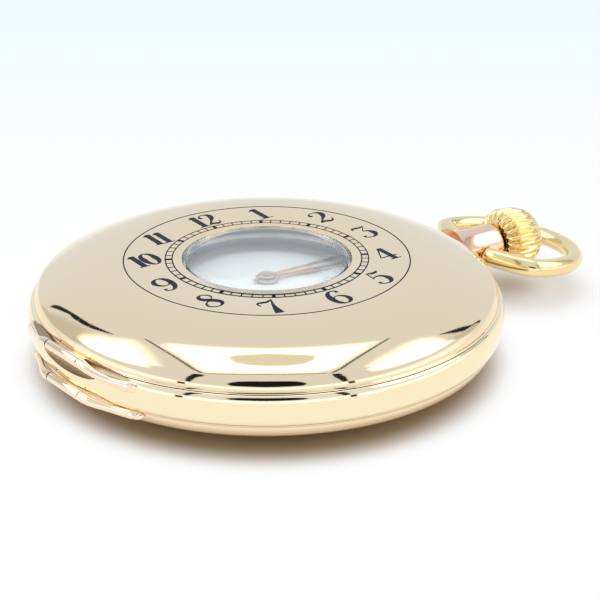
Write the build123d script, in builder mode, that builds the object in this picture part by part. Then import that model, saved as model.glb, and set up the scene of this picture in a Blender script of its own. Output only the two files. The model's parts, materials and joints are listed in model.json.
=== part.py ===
from build123d import *
import os
from math import atan2, cos, hypot, pi, radians, sin, sqrt, degrees, asin

os.makedirs("parts", exist_ok=True)

# Half hunter pocket watch lying on its back, in millimetres.
# Z = 0 is the flat of the back. +X points to the pendant and three o'clock, +Y to twelve, +Z to the dial side.

# Driving sizes of the case
case_radius = 25.0
joint_step = 0.25
band_height = 3.15
lid_height = 3.85
lid_wall = 0.5
rim_wall = 0.55
flat_share = 0.60364
shoulder_share = 0.69495
shoulder_slope = 32.4
roll_radius = 0.5
roll_slope = 75.0
window_radius = 8.84

# Clearances and the overrun of cuts
joint_gap = 0.06
running = 0.04
seat_gap = 0.02
overrun = 1.0

# Radii and heights that follow from them
joint_radius = case_radius - joint_step
flat_radius = joint_radius * flat_share
shoulder_radius = joint_radius * shoulder_share
back_joint_z = lid_height
front_joint_z = back_joint_z + band_height
lid_top_z = front_joint_z + lid_height
stem_z = back_joint_z + band_height / 2


def save(piece, name):
    piece.part.label = name
    export_step(piece.part, "parts/" + name + ".step")


def stem_plane(start):
    """Plane across the stem, at a distance from the middle of the watch."""
    return Plane((start, 0, stem_z), x_dir=(0, 1, 0), z_dir=(1, 0, 0))


def polar(radius, angle, origin=(0, 0)):
    return (origin[0] + radius * cos(angle), origin[1] + radius * sin(angle))


# Height and depth of a tooth from the pitch circle, as shares of the module
tooth_tip_share = 0.9
tooth_root_share = 1.15


def gear_points(teeth, module, phase, tip_share, root_share):
    """Outline of a wheel with straight-sided teeth. A tip share of zero gives pointed teeth."""
    pitch = 2 * pi / teeth
    tip = module * (teeth / 2 + tooth_tip_share)
    root = module * (teeth / 2 - tooth_root_share)
    points = []
    for index in range(teeth):
        middle = phase + index * pitch
        points.append(polar(root, middle - pitch * root_share / 2))
        if tip_share > 0:
            points.append(polar(tip, middle - pitch * tip_share / 2))
        points.append(polar(tip, middle + pitch * tip_share / 2))
        points.append(polar(root, middle + pitch * root_share / 2))
    return points


def mesh_phase(phase, teeth, other_teeth, line):
    """Phase of the second wheel that puts its gap on the first wheel's tooth along the line of centres."""
    return line + pi + pi / other_teeth - (phase - line) * teeth / other_teeth


def lid_corner(radius, slope):
    """Point of the shoulder, as radius and height above the joint face."""
    angle = radians(slope)
    return (flat_radius + radius * sin(angle), lid_height - shoulder_radius + radius * cos(angle))


# Profile of a lid, front and back alike, measured from its joint face
shoulder_middle = lid_corner(shoulder_radius, shoulder_slope / 2)
shoulder_end = lid_corner(shoulder_radius, shoulder_slope)
roll_centre = (
    shoulder_end[0] - roll_radius * sin(radians(shoulder_slope)),
    shoulder_end[1] - roll_radius * cos(radians(shoulder_slope)),
)
roll_middle_slope = radians((shoulder_slope + roll_slope) / 2)
roll_middle = (
    roll_centre[0] + roll_radius * sin(roll_middle_slope),
    roll_centre[1] + roll_radius * cos(roll_middle_slope),
)
roll_end = (
    roll_centre[0] + roll_radius * sin(radians(roll_slope)),
    roll_centre[1] + roll_radius * cos(radians(roll_slope)),
)
bead_width = joint_radius - roll_end[0]
bead_height = roll_end[1] - joint_gap
bead_radius = (bead_width**2 + bead_height**2) / (2 * bead_width)
bead_half_turn = asin(bead_height / bead_radius) / 2
bead_middle = (
    joint_radius - bead_radius * (1 - cos(bead_half_turn)),
    joint_gap + bead_radius * sin(bead_half_turn),
)
inner_middle = lid_corner(shoulder_radius - lid_wall, shoulder_slope / 2)
inner_end = lid_corner(shoulder_radius - lid_wall, shoulder_slope)
inner_rim = (joint_radius - rim_wall, joint_gap)


def lid_profile(base, way, inner_radius):
    """Closed lid profile. Way is 1 for the front and -1 for the back, base the height of the joint."""
    def at(point):
        return (point[0], base + way * point[1])

    top = lid_height
    under = lid_height - lid_wall
    Line(at((inner_radius, top)), at((flat_radius, top)))
    ThreePointArc(at((flat_radius, top)), at(shoulder_middle), at(shoulder_end))
    ThreePointArc(at(shoulder_end), at(roll_middle), at(roll_end))
    ThreePointArc(at(roll_end), at(bead_middle), at((joint_radius, joint_gap)))
    Polyline(
        at((joint_radius, joint_gap)),
        at(inner_rim),
        at(inner_end),
        at(inner_middle),
        at((flat_radius, under)),
        at((inner_radius, under)),
        at((inner_radius, top)),
    )


# Hinges stand a little past nine o'clock
hinge_angle = radians(184.3)
knuckle_radius = 0.5
hinge_pin_radius = 0.2
centre_knuckle_half = 2.65
knuckle_gap = 0.1
outer_knuckle_end = 5.4
front_hinge_rise = 0.12
back_hinge_drop = 0.29
finger_reach = 9.7
finger_proud = 0.45
finger_depth = 1.0
finger_full_drop = 1.6
front_hinge_z = front_joint_z + front_hinge_rise
back_hinge_z = back_joint_z - back_hinge_drop
outer_knuckle_start = centre_knuckle_half + knuckle_gap
hinge_out = Vector(cos(hinge_angle), sin(hinge_angle), 0)
hinge_along = Vector(-sin(hinge_angle), cos(hinge_angle), 0)


def hinge_plane(height, shift):
    """Plane across the hinge axis, shifted along it."""
    centre = hinge_out * case_radius + hinge_along * shift + Vector(0, 0, height)
    return Plane(centre, x_dir=hinge_out, z_dir=hinge_along)


# Leaf of a hinge finger, as shares of its length and its drop: narrow at the knuckle, widest near the tip
leaf_shares = [
    (0.0, 0.0), (0.62, 0.0), (0.9, 0.12), (1.0, 0.45), (0.95, 0.8), (0.78, 1.0), (0.45, 0.8), (0.0, 0.45),
]


def leaf_points(side, top):
    """Leaf of a hinge finger seen from outside."""
    length = finger_reach - outer_knuckle_start
    return [
        (side * (outer_knuckle_start + length * along), top - finger_full_drop * down)
        for along, down in leaf_shares
    ]


def make_fingers(height, top):
    """Outer knuckles and leaf fingers of one hinge, as two solids that join their carrier."""
    with BuildPart() as fingers:
        leaf_plane = Plane(Vector(0, 0, 0), x_dir=hinge_along, z_dir=hinge_out)
        with BuildSketch(leaf_plane):
            for side in (-1, 1):
                with BuildLine():
                    Polyline(*leaf_points(side, top), close=True)
                make_face()
        extrude(amount=case_radius + overrun)
        with BuildSketch(Plane.XY):
            Circle(case_radius + finger_proud)
            Circle(case_radius - finger_depth, mode=Mode.SUBTRACT)
        extrude(amount=lid_top_z, mode=Mode.INTERSECT)
        length = outer_knuckle_end - outer_knuckle_start
        for shift in (outer_knuckle_start, -outer_knuckle_end):
            with BuildSketch(hinge_plane(height, shift)):
                Circle(knuckle_radius)
            extrude(amount=length)
    return fingers


# Rings inside the case, from the joint face inwards
joint_land = 2.15
collar_wall = 0.5
shelf_width = 0.9
movement_play = 0.2
dial_play = 0.4
collar_outer = joint_radius - joint_land
collar_inner = collar_outer - collar_wall
movement_bore = collar_inner - shelf_width

# Movement: levels from the back, plan places from the train's distances
bridge_bottom = 2.2
bridge_top = 3.1
bridge_inset = 1.6
plate_bottom = 4.5
plate_top = 6.3
plate_radius = movement_bore - movement_play
plate_flange = collar_inner - movement_play / 2
bridge_radius = plate_radius - bridge_inset
dial_bottom = 7.3
dial_thickness = 0.28
dial_radius = collar_inner - dial_play
foot_width = 1.9

barrel_teeth, centre_pinion_teeth, barrel_module = 80, 10, 0.2
centre_teeth, third_pinion_teeth, centre_module = 80, 10, 0.145
third_teeth, fourth_pinion_teeth, third_module = 75, 10, 0.13
fourth_teeth, escape_pinion_teeth, fourth_module = 80, 8, 0.1
ratchet_teeth, crown_wheel_teeth, winding_module = 42, 23, 0.3
winding_pinion_teeth = 10
cannon_teeth, minute_wheel_teeth, cannon_module = 12, 36, 0.14
minute_pinion_teeth, hour_wheel_teeth = 10, 40
seconds_offset = 10.0
barrel_angle = radians(60)
escape_angle = radians(170)
minute_wheel_angle = radians(150)
escape_wheel_teeth = 15
escape_wheel_radius = 3.0
pallet_distance = 3.6
balance_x = -10.6
balance_y = -3.4
balance_place = (balance_x, balance_y)
balance_radius = 7.5

barrel_distance = barrel_module * (barrel_teeth + centre_pinion_teeth) / 2
barrel_place = polar(barrel_distance, barrel_angle)
winding_distance = winding_module * (ratchet_teeth + crown_wheel_teeth) / 2
crown_wheel_place = (barrel_place[0] + sqrt(winding_distance**2 - barrel_place[1] ** 2), 0)
third_distance = centre_module * (centre_teeth + third_pinion_teeth) / 2
fourth_distance = third_module * (third_teeth + fourth_pinion_teeth) / 2
escape_distance = fourth_module * (fourth_teeth + escape_pinion_teeth) / 2
third_share = (third_distance**2 + seconds_offset**2 - fourth_distance**2) / (2 * seconds_offset)
third_cosine = third_share / third_distance
third_angle = -pi / 2 + atan2(sqrt(1 - third_cosine**2), third_cosine)
third_place = polar(third_distance, third_angle)
fourth_place = (0, -seconds_offset)
escape_place = polar(escape_distance, escape_angle, fourth_place)
lever_angle = atan2(balance_place[1] - escape_place[1], balance_place[0] - escape_place[0])
pallet_place = polar(pallet_distance, lever_angle, escape_place)
motion_distance = cannon_module * (cannon_teeth + minute_wheel_teeth) / 2
minute_pinion_module = 2 * motion_distance / (minute_pinion_teeth + hour_wheel_teeth)
minute_wheel_place = polar(motion_distance, minute_wheel_angle)

ratchet_bottom = 3.15
ratchet_thickness = 0.35
crown_wheel_top = 3.98
barrel_bottom = 4.0
barrel_rim_thickness = 0.4
barrel_drum_top = 5.55
barrel_top = 5.85
barrel_wall_radius = 7.7
barrel_bore = 7.2
centre_wheel_z = 3.62
train_thickness = 0.2
third_wheel_z = 4.05
fourth_wheel_z = 3.25
escape_wheel_z = 5.1
balance_pocket_z = 4.65
escape_pocket_z = 5.45
balance_rim_z = 3.95
balance_arm_z = 4.1
balance_arm_thickness = 0.25
pivot_radius = 0.14
arbor_radius = 0.3
centre_arbor_radius = 0.3
barrel_arbor_radius = 0.9
barrel_pivot_radius = 0.6
crown_hub_radius = 1.0
pivot_floor = 0.2
jewel_radius = 0.6
jewel_thickness = 0.35
screw_head_radius = 0.85
screw_head_height = 0.4
screw_shank_radius = 0.4
screw_length = 2.9
screw_play = 0.05
tunnel_radius = 1.85
tunnel_play = 0.1
winding_pinion_start = crown_wheel_place[0] + winding_module * (crown_wheel_teeth / 2 - 1)
winding_pinion_width = 0.7
winding_pinion_length = 1.6
sliding_pinion_length = 1.9
sliding_pinion_radius = 1.3
neck_share = 0.82


def arbor(place, spans):
    """Turned arbor of several diameters, given as bottom, top and radius of each span."""
    for bottom, top, radius in spans:
        with BuildSketch(Plane((place[0], place[1], bottom))) as section:
            Circle(radius)
        extrude(section.sketch, amount=top - bottom)


def toothed_disc(place, bottom, thickness, teeth, module, phase, tip_share=0.0, root_share=0.62):
    with BuildSketch(Plane((place[0], place[1], bottom))) as section:
        with BuildLine():
            Polyline(*gear_points(teeth, module, phase, tip_share, root_share), close=True)
        make_face()
    extrude(section.sketch, amount=thickness)


# Hub, rim and arms of a crossed-out wheel, as shares of its radius
hub_share = 0.265
rim_share = 0.845
arm_share = 0.123


def crossings(place, bottom, thickness, radius):
    """Openings between the four arms of a wheel, which stay standing with parallel sides."""
    with BuildSketch(Plane((place[0], place[1], bottom))) as section:
        Circle(radius * rim_share)
        Circle(radius * hub_share, mode=Mode.SUBTRACT)
        for turn in (0, 90):
            Rectangle(2 * radius, radius * arm_share, rotation=turn, mode=Mode.SUBTRACT)
    extrude(section.sketch, amount=thickness, mode=Mode.SUBTRACT)


def round_hole(place, bottom, top, radius):
    with BuildSketch(Plane((place[0], place[1], bottom))) as section:
        Circle(radius)
    extrude(section.sketch, amount=top - bottom, mode=Mode.SUBTRACT)


barrel_line = barrel_angle + pi
third_line = third_angle
fourth_line = atan2(fourth_place[1] - third_place[1], fourth_place[0] - third_place[0])
centre_pinion_phase = mesh_phase(barrel_line, barrel_teeth, centre_pinion_teeth, barrel_line)
third_pinion_phase = mesh_phase(third_line, centre_teeth, third_pinion_teeth, third_line)
fourth_pinion_phase = mesh_phase(fourth_line, third_teeth, fourth_pinion_teeth, fourth_line)
escape_pinion_phase = mesh_phase(escape_angle, fourth_teeth, escape_pinion_teeth, escape_angle)
pinion_tip_share, pinion_root_share = 0.22, 0.5
winding_tip_share, winding_root_share = 0.1, 0.55

# Places of the screws that hold the bridges and the balance cock
bridge_screw_places = [
    polar(bridge_radius - foot_width / 2, radians(angle)) for angle in (20, 72, 120, 252, 290, 328)
]
cock_foot_start, cock_screw_angle, cock_foot_end = 148, 154, 170
cock_screw_place = polar(bridge_radius - foot_width / 2, radians(cock_screw_angle))
case_screw_places = [polar(plate_radius - screw_shank_radius, radians(angle)) for angle in (140, 320)]
case_screw_head = 1.05

# Band: the case middle, with a collar at each side for the glass bezel and the dust cover
band_middle_share = 0.42
band_upper_drop = 1.0
band_upper_step = 0.04
band_upper_radius = case_radius - band_upper_step
collar_rise = 0.6
shelf_z = 5.9
stem_radius = 0.7
stem_bore = 0.8
pendant_bore = 1.2
pendant_foot_radius = 1.45
pendant_foot_depth = 1.0
pendant_foot_start = case_radius - pendant_foot_depth
catch_width = 2.4
catch_thickness = 0.3
catch_inset = 0.5
catch_x = collar_outer + catch_inset
catch_travel = 0.4
catch_back_play = 0.045
catch_slot_inner = collar_outer + seat_gap * 2
catch_slot_outer = catch_x + catch_thickness + catch_back_play
catch_side_play = 0.2
catch_bottom_z = 4.9
catch_floor_z = 4.1
spring_bottom_z = 6.3
spring_top_z = 6.9
groove_floor_z = 6.2
catch_tail_angle = 26.0
groove_end_angle = 30.0
lift_start_angle = 150.0
lift_post_angle = 173.0
lift_end_angle = 176.0
lift_groove_start = 148.0
lift_groove_end = 178.0
collar_top_z = front_joint_z + collar_rise
collar_bottom_z = back_joint_z - collar_rise


def sector(inner, outer, start, end):
    """Ring sector in the current sketch, by angles in degrees, drawn as an arc band."""
    a, b = radians(start), radians(end)
    middle = (a + b) / 2
    with BuildLine(mode=Mode.PRIVATE) as border:
        ThreePointArc(polar(outer, a), polar(outer, middle), polar(outer, b))
        Line(polar(outer, b), polar(inner, b))
        ThreePointArc(polar(inner, b), polar(inner, middle), polar(inner, a))
        Line(polar(inner, a), polar(outer, a))
    make_face(border.edges())


front_fingers = make_fingers(front_hinge_z, front_joint_z - joint_gap)

with BuildPart() as case_band:
    with BuildSketch(Plane.XZ):
        with BuildLine():
            lower = ThreePointArc(
                (joint_radius, back_joint_z),
                (case_radius, back_joint_z + band_middle_share * band_height),
                (band_upper_radius, front_joint_z - band_upper_drop),
            )
            TangentArc(lower @ 1, (joint_radius, front_joint_z), tangent=lower % 1)
            Polyline(
                (joint_radius, front_joint_z),
                (collar_outer, front_joint_z),
                (collar_outer, collar_top_z),
                (collar_inner, collar_top_z),
                (collar_inner, shelf_z),
                (movement_bore, shelf_z),
                (movement_bore, back_joint_z),
                (collar_inner, collar_bottom_z),
                (collar_outer, collar_bottom_z),
                (collar_outer, back_joint_z),
                (joint_radius, back_joint_z),
            )
        make_face()
    revolve(axis=Axis.Z)
    add(front_fingers.part)
    # Centre knuckle of the back hinge
    with BuildSketch(hinge_plane(back_hinge_z, 0)):
        Circle(knuckle_radius)
    extrude(amount=centre_knuckle_half, both=True)
    # Notch for the front lid's centre knuckle, and notches for the back lid's outer knuckles
    with BuildSketch(hinge_plane(front_hinge_z, 0)):
        Circle(knuckle_radius + joint_gap)
    extrude(amount=centre_knuckle_half + knuckle_gap / 2, both=True, mode=Mode.SUBTRACT)
    for shift in (centre_knuckle_half + knuckle_gap / 2, -outer_knuckle_end - knuckle_gap):
        with BuildSketch(hinge_plane(back_hinge_z, shift)):
            Circle(knuckle_radius + joint_gap)
        extrude(amount=outer_knuckle_end - centre_knuckle_half + knuckle_gap / 2, mode=Mode.SUBTRACT)
    # Bores of both hinge pins
    with BuildSketch(hinge_plane(front_hinge_z, 0), hinge_plane(back_hinge_z, 0)):
        Circle(hinge_pin_radius)
    extrude(amount=outer_knuckle_end + overrun, both=True, mode=Mode.SUBTRACT)
    # Passage of the stem, and the socket of the pendant's foot
    with BuildSketch(stem_plane(movement_bore - overrun)):
        Circle(stem_bore)
    extrude(amount=case_radius - movement_bore + 2 * overrun, mode=Mode.SUBTRACT)
    with BuildSketch(stem_plane(catch_slot_outer)):
        Circle(pendant_bore)
    extrude(amount=case_radius, mode=Mode.SUBTRACT)
    with BuildSketch(stem_plane(pendant_foot_start)):
        Circle(pendant_foot_radius)
    extrude(amount=case_radius, mode=Mode.SUBTRACT)
    # Slot of the lid catch, its spring's groove and the lift spring's groove
    with BuildSketch(Plane.XY.offset(catch_floor_z)):
        with Locations(((catch_slot_inner + catch_slot_outer) / 2, 0)):
            Rectangle(catch_slot_outer - catch_slot_inner, catch_width + 2 * catch_side_play)
    extrude(amount=front_joint_z - catch_floor_z + overrun, mode=Mode.SUBTRACT)
    with BuildSketch(Plane.XY.offset(groove_floor_z)):
        sector(catch_slot_inner, catch_slot_outer, 0, groove_end_angle)
    extrude(amount=front_joint_z - groove_floor_z + overrun, mode=Mode.SUBTRACT)
    with BuildSketch(Plane.XY.offset(groove_floor_z)):
        sector(catch_slot_inner, catch_slot_outer, lift_groove_start, lift_groove_end)
    extrude(amount=front_joint_z - groove_floor_z + overrun, mode=Mode.SUBTRACT)
    # Recesses that let the heads of the case screws rest half on the band
    for place in case_screw_places:
        round_hole(place, collar_bottom_z - overrun, plate_bottom, case_screw_head + 2 * seat_gap)
save(case_band, "case_band")

# Pendant: the neck that carries the bow and guides the stem
pendant_radius = 2.35
pendant_base_radius = 3.2
pendant_base_depth = 0.6
pendant_flare_reach = 2.2
pendant_reach = 6.05
pendant_lip = 0.2
pendant_base_start = case_radius - pendant_base_depth
pendant_flare_end = case_radius + pendant_flare_reach
pendant_end = case_radius + pendant_reach
flare_along_share, flare_wide_share = 0.35, 0.34
bow_reach = 3.3
bow_x = case_radius + bow_reach
bow_pin_radius = 0.55
bow_pin_play = 0.07
with BuildPart() as pendant:
    flare_width = pendant_base_radius - pendant_radius
    flare_length = pendant_flare_end - pendant_base_start
    with BuildSketch(Plane.XY.offset(stem_z)):
        with BuildLine():
            Line((pendant_foot_start, pendant_bore), (pendant_foot_start, pendant_foot_radius))
            Line((pendant_foot_start, pendant_foot_radius), (pendant_base_start, pendant_foot_radius))
            Line((pendant_base_start, pendant_foot_radius), (pendant_base_start, pendant_base_radius))
            flare_x = pendant_base_start + flare_length * flare_along_share
            flare_y = pendant_radius + flare_width * flare_wide_share
            ThreePointArc(
                (pendant_base_start, pendant_base_radius),
                (flare_x, flare_y),
                (pendant_flare_end, pendant_radius),
            )
            Polyline(
                (pendant_flare_end, pendant_radius),
                (pendant_end - pendant_lip, pendant_radius),
                (pendant_end, pendant_radius - pendant_lip),
                (pendant_end, pendant_bore),
                (pendant_foot_start, pendant_bore),
            )
        make_face()
    revolve(axis=Axis((0, 0, stem_z), (1, 0, 0)))
    # The flare saddles the band and stands clear of both lids
    with BuildSketch(Plane.XY):
        Circle(case_radius + seat_gap)
    extrude(amount=lid_top_z, mode=Mode.SUBTRACT)
    with BuildSketch(stem_plane(pendant_foot_start)):
        Circle(pendant_foot_radius)
        Circle(pendant_bore, mode=Mode.SUBTRACT)
    extrude(amount=pendant_flare_end - pendant_foot_start)
    with BuildSketch(Plane.XZ.offset(-pendant_base_radius)):
        with Locations((bow_x, stem_z)):
            Circle(bow_pin_radius + bow_pin_play)
    extrude(amount=2 * pendant_base_radius, mode=Mode.SUBTRACT)
save(pendant, "pendant")

# Front lid with its window, the lip that the catch holds, and the hinge's centre knuckle
lip_bottom = 0.1
lip_top = 0.38
lip_gap = 0.1
lip_reach = catch_x + catch_thickness + lip_gap
lip_width = 2.2
with BuildPart() as front_lid:
    with BuildSketch(Plane.XZ):
        with BuildLine():
            lid_profile(front_joint_z, 1, window_radius)
        make_face()
    revolve(axis=Axis.Z)
    with BuildSketch(Plane.XY.offset(front_joint_z + lip_bottom)):
        with Locations(((lip_reach + inner_rim[0]) / 2, 0)):
            Rectangle(inner_rim[0] - lip_reach, lip_width)
    extrude(amount=lip_top - lip_bottom)
    with BuildSketch(hinge_plane(front_hinge_z, 0)):
        Circle(knuckle_radius)
    extrude(amount=centre_knuckle_half, both=True)
    for shift in (centre_knuckle_half + knuckle_gap / 2, -outer_knuckle_end - knuckle_gap):
        with BuildSketch(hinge_plane(front_hinge_z, shift)):
            Circle(knuckle_radius + joint_gap)
        extrude(amount=outer_knuckle_end - centre_knuckle_half + knuckle_gap / 2, mode=Mode.SUBTRACT)
    with BuildSketch(hinge_plane(front_hinge_z, 0)):
        Circle(hinge_pin_radius + running)
    extrude(amount=centre_knuckle_half + overrun, both=True, mode=Mode.SUBTRACT)
save(front_lid, "front_lid")

# Window glass: a domed crystal with a flange under the lid, held by a retaining ring
glass_proud = 0.4
glass_dome = 0.75
glass_thickness = 0.7
glass_flange_radius = 9.5
glass_flange_thickness = 0.35
ring_outer = 10.2
ring_lip = 0.3
lid_under_z = lid_top_z - lid_wall


def dome_point(width, rise, share):
    """Point of a dome's arc at a share of its half width, above the dome's edge."""
    radius = (width**2 + rise**2) / (2 * rise)
    return (width * share, sqrt(radius**2 - (width * share) ** 2) - radius + rise)


with BuildPart() as window_glass:
    inside = window_radius - glass_thickness
    edge_z = lid_top_z + glass_proud
    dome_z = edge_z + glass_dome
    flange_z = lid_under_z - glass_flange_thickness
    with BuildSketch(Plane.XZ):
        with BuildLine():
            outside = window_radius - seat_gap
            outer_dome = dome_point(outside, glass_dome, 0.5)
            inner_dome = dome_point(inside, glass_dome, 0.5)
            Line((outside, lid_under_z), (outside, edge_z))
            ThreePointArc((outside, edge_z), (outer_dome[0], edge_z + outer_dome[1]), (0, dome_z))
            Line((0, dome_z), (0, dome_z - glass_thickness))
            ThreePointArc(
                (0, dome_z - glass_thickness),
                (inner_dome[0], edge_z - glass_thickness + inner_dome[1]),
                (inside, edge_z - glass_thickness),
            )
            Polyline(
                (inside, edge_z - glass_thickness),
                (inside, flange_z),
                (glass_flange_radius, flange_z),
                (glass_flange_radius, lid_under_z),
                (window_radius - seat_gap, lid_under_z),
            )
        make_face()
    revolve(axis=Axis.Z)
save(window_glass, "window_glass")

with BuildPart() as window_ring:
    flange_z = lid_under_z - glass_flange_thickness
    with BuildSketch(Plane.XZ):
        with BuildLine():
            Polyline(
                (window_radius, flange_z - ring_lip),
                (ring_outer, flange_z - ring_lip),
                (ring_outer, lid_under_z),
                (glass_flange_radius + seat_gap, lid_under_z),
                (glass_flange_radius + seat_gap, flange_z),
                (window_radius, flange_z),
                close=True,
            )
        make_face()
    revolve(axis=Axis.Z)
save(window_ring, "window_ring")

# Back lid, whose fingers and outer knuckles straddle the band's centre knuckle
back_fingers = make_fingers(back_hinge_z, back_joint_z - joint_gap)
with BuildPart() as back_lid:
    with BuildSketch(Plane.XZ):
        with BuildLine():
            lid_profile(back_joint_z, -1, 0)
        make_face()
    revolve(axis=Axis.Z)
    add(back_fingers.part)
    with BuildSketch(hinge_plane(back_hinge_z, 0)):
        Circle(knuckle_radius + joint_gap)
    extrude(amount=centre_knuckle_half + knuckle_gap / 2, both=True, mode=Mode.SUBTRACT)
    with BuildSketch(hinge_plane(back_hinge_z, 0)):
        Circle(hinge_pin_radius + running)
    extrude(amount=outer_knuckle_end + overrun, both=True, mode=Mode.SUBTRACT)
save(back_lid, "back_lid")

for name, height in (("front_hinge_pin", front_hinge_z), ("back_hinge_pin", back_hinge_z)):
    with BuildPart() as hinge_pin:
        with BuildSketch(hinge_plane(height, 0)):
            Circle(hinge_pin_radius)
        extrude(amount=outer_knuckle_end, both=True)
    save(hinge_pin, name)

# Glass bezel, which snaps over the band's upper collar, and the flat dial glass in its groove
skirt_thickness = 0.35
skirt_drop = 0.1
bezel_outer_z = 7.75
bezel_shoulder = 0.1
bezel_shoulder_radius = collar_inner + bezel_shoulder
bezel_shoulder_z = 8.12
bezel_reach = 0.3
bezel_inner_radius = movement_bore - bezel_reach
bezel_top_z = 8.42
glass_edge_depth = 0.4
glass_edge_radius = bezel_inner_radius + glass_edge_depth
glass_edge_bottom = 7.84
glass_edge_top = 8.2
glass_slope_width = 3.5
glass_flat_radius = bezel_inner_radius - glass_slope_width
dial_glass_top = 9.2
dial_glass_thickness = 0.4
skirt_outer = collar_outer + seat_gap + skirt_thickness
with BuildPart() as glass_bezel:
    with BuildSketch(Plane.XZ):
        with BuildLine():
            Polyline(
                (collar_outer + seat_gap, front_joint_z + skirt_drop),
                (skirt_outer, front_joint_z + skirt_drop),
                (skirt_outer, bezel_outer_z),
                (bezel_shoulder_radius, bezel_shoulder_z),
                (bezel_inner_radius, bezel_top_z),
                (bezel_inner_radius, glass_edge_top + seat_gap),
                (glass_edge_radius + seat_gap, glass_edge_top + seat_gap),
                (glass_edge_radius + seat_gap, glass_edge_bottom - seat_gap),
                (bezel_inner_radius, glass_edge_bottom - seat_gap),
                (bezel_inner_radius, collar_top_z + seat_gap),
                (collar_outer + seat_gap, collar_top_z + seat_gap),
                close=True,
            )
        make_face()
    revolve(axis=Axis.Z)
    with BuildSketch(Plane.XY.offset(front_joint_z)):
        with Locations((collar_outer + seat_gap + overrun, 0)):
            Rectangle(2 * overrun, catch_width + 2 * catch_side_play)
    extrude(amount=bezel_outer_z - front_joint_z, mode=Mode.SUBTRACT)
save(glass_bezel, "glass_bezel")

with BuildPart() as dial_glass:
    under = dial_glass_top - dial_glass_thickness
    with BuildSketch(Plane.XZ):
        with BuildLine():
            Polyline(
                (0, dial_glass_top),
                (glass_flat_radius, dial_glass_top),
                (bezel_inner_radius - seat_gap, glass_edge_top + seat_gap),
                (bezel_inner_radius - seat_gap, glass_edge_top),
                (glass_edge_radius, glass_edge_top),
                (glass_edge_radius, glass_edge_bottom),
                (bezel_inner_radius - dial_glass_thickness, glass_edge_bottom),
                (glass_flat_radius - dial_glass_thickness / 2, under),
                (0, under),
                close=True,
            )
        make_face()
    revolve(axis=Axis.Z)
save(dial_glass, "dial_glass")

# Dust cover: an inner back that snaps over the lower collar
dust_wall = 0.35
dust_flat_z = 0.95
dust_slope_width = 2.6
dust_shoulder_radius = collar_inner - dust_slope_width
dust_shoulder_z = 1.45
dust_rim_z = 3.0
with BuildPart() as dust_cover:
    with BuildSketch(Plane.XZ):
        with BuildLine():
            Polyline(
                (0, dust_flat_z),
                (flat_radius, dust_flat_z),
                (dust_shoulder_radius, dust_shoulder_z),
                (skirt_outer, dust_rim_z),
                (skirt_outer, back_joint_z - skirt_drop),
                (collar_outer + seat_gap, back_joint_z - skirt_drop),
                (collar_outer + seat_gap, collar_bottom_z - seat_gap),
                (collar_inner, collar_bottom_z - seat_gap),
                (dust_shoulder_radius - dust_wall / 2, dust_shoulder_z + dust_wall * 1.1),
                (flat_radius, dust_flat_z + dust_wall),
                (0, dust_flat_z + dust_wall),
                close=True,
            )
        make_face()
    revolve(axis=Axis.Z)
save(dust_cover, "dust_cover")

# Bow: a round wire ring whose ends turn in to the pendant, hanging a little below the stem's level
bow_wire = 0.92
bow_droop = 8.5
bow_shoulder = 5.3
bow_corner_radius = 2.3
bow_corner_turn = radians(65)
bow_pin_start = 1.7
bow_side_play = 0.3
bow_wire_start = pendant_radius + bow_side_play
with BuildPart() as bow:
    droop = radians(bow_droop)
    bow_plane = Plane(
        (bow_x, 0, stem_z), x_dir=(cos(droop), 0, -sin(droop)), z_dir=(sin(droop), 0, cos(droop))
    )
    corner = (
        bow_corner_radius * (1 - cos(bow_corner_turn)),
        bow_shoulder + bow_corner_radius * sin(bow_corner_turn),
    )
    corner_middle = (
        bow_corner_radius * (1 - cos(bow_corner_turn / 2)),
        bow_shoulder + bow_corner_radius * sin(bow_corner_turn / 2),
    )
    bow_radius = corner[1] / sin(bow_corner_turn)
    bow_centre = corner[0] + bow_radius * cos(bow_corner_turn)
    with BuildLine(bow_plane) as bow_path:
        Line((0, bow_wire_start), (0, bow_shoulder))
        ThreePointArc((0, bow_shoulder), corner_middle, corner)
        ThreePointArc(corner, (bow_centre + bow_radius, 0), (corner[0], -corner[1]))
        ThreePointArc((corner[0], -corner[1]), (corner_middle[0], -corner_middle[1]), (0, -bow_shoulder))
        Line((0, -bow_shoulder), (0, -bow_wire_start))
    with BuildSketch(Plane((bow_x, bow_wire_start, stem_z), x_dir=(1, 0, 0), z_dir=(0, 1, 0))):
        Circle(bow_wire)
    sweep(path=bow_path.wire())
    for side in (-1, 1):
        with BuildSketch(Plane((bow_x, side * bow_pin_start, stem_z), x_dir=(1, 0, 0), z_dir=(0, side, 0))):
            Circle(bow_pin_radius)
        extrude(amount=bow_wire_start - bow_pin_start)
save(bow, "bow")

# Crown: fluted, narrow at the neck, widest past its middle, with a low domed end
crown_gap = 0.45
crown_start = pendant_end + crown_gap
crown_length = 5.5
crown_radius = 3.5
crown_flutes = 22

# Shares of the crown's length and radius, and the depth of its flutes as a share of the radius
crown_shares = [
    (0.0, 0.74, 0.10),
    (0.12, 0.86, 0.15),
    (0.34, 0.98, 0.13),
    (0.52, 1.0, 0.08),
    (0.72, 0.95, 0.07),
    (0.9, 0.76, 0.05),
    (1.0, 0.5, 0.01),
]


def star_points(outer, inner, count):
    points = []
    for index in range(count):
        points.append(polar(outer, 2 * pi * index / count))
        points.append(polar(inner, 2 * pi * (index + 0.5) / count))
    return points


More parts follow.
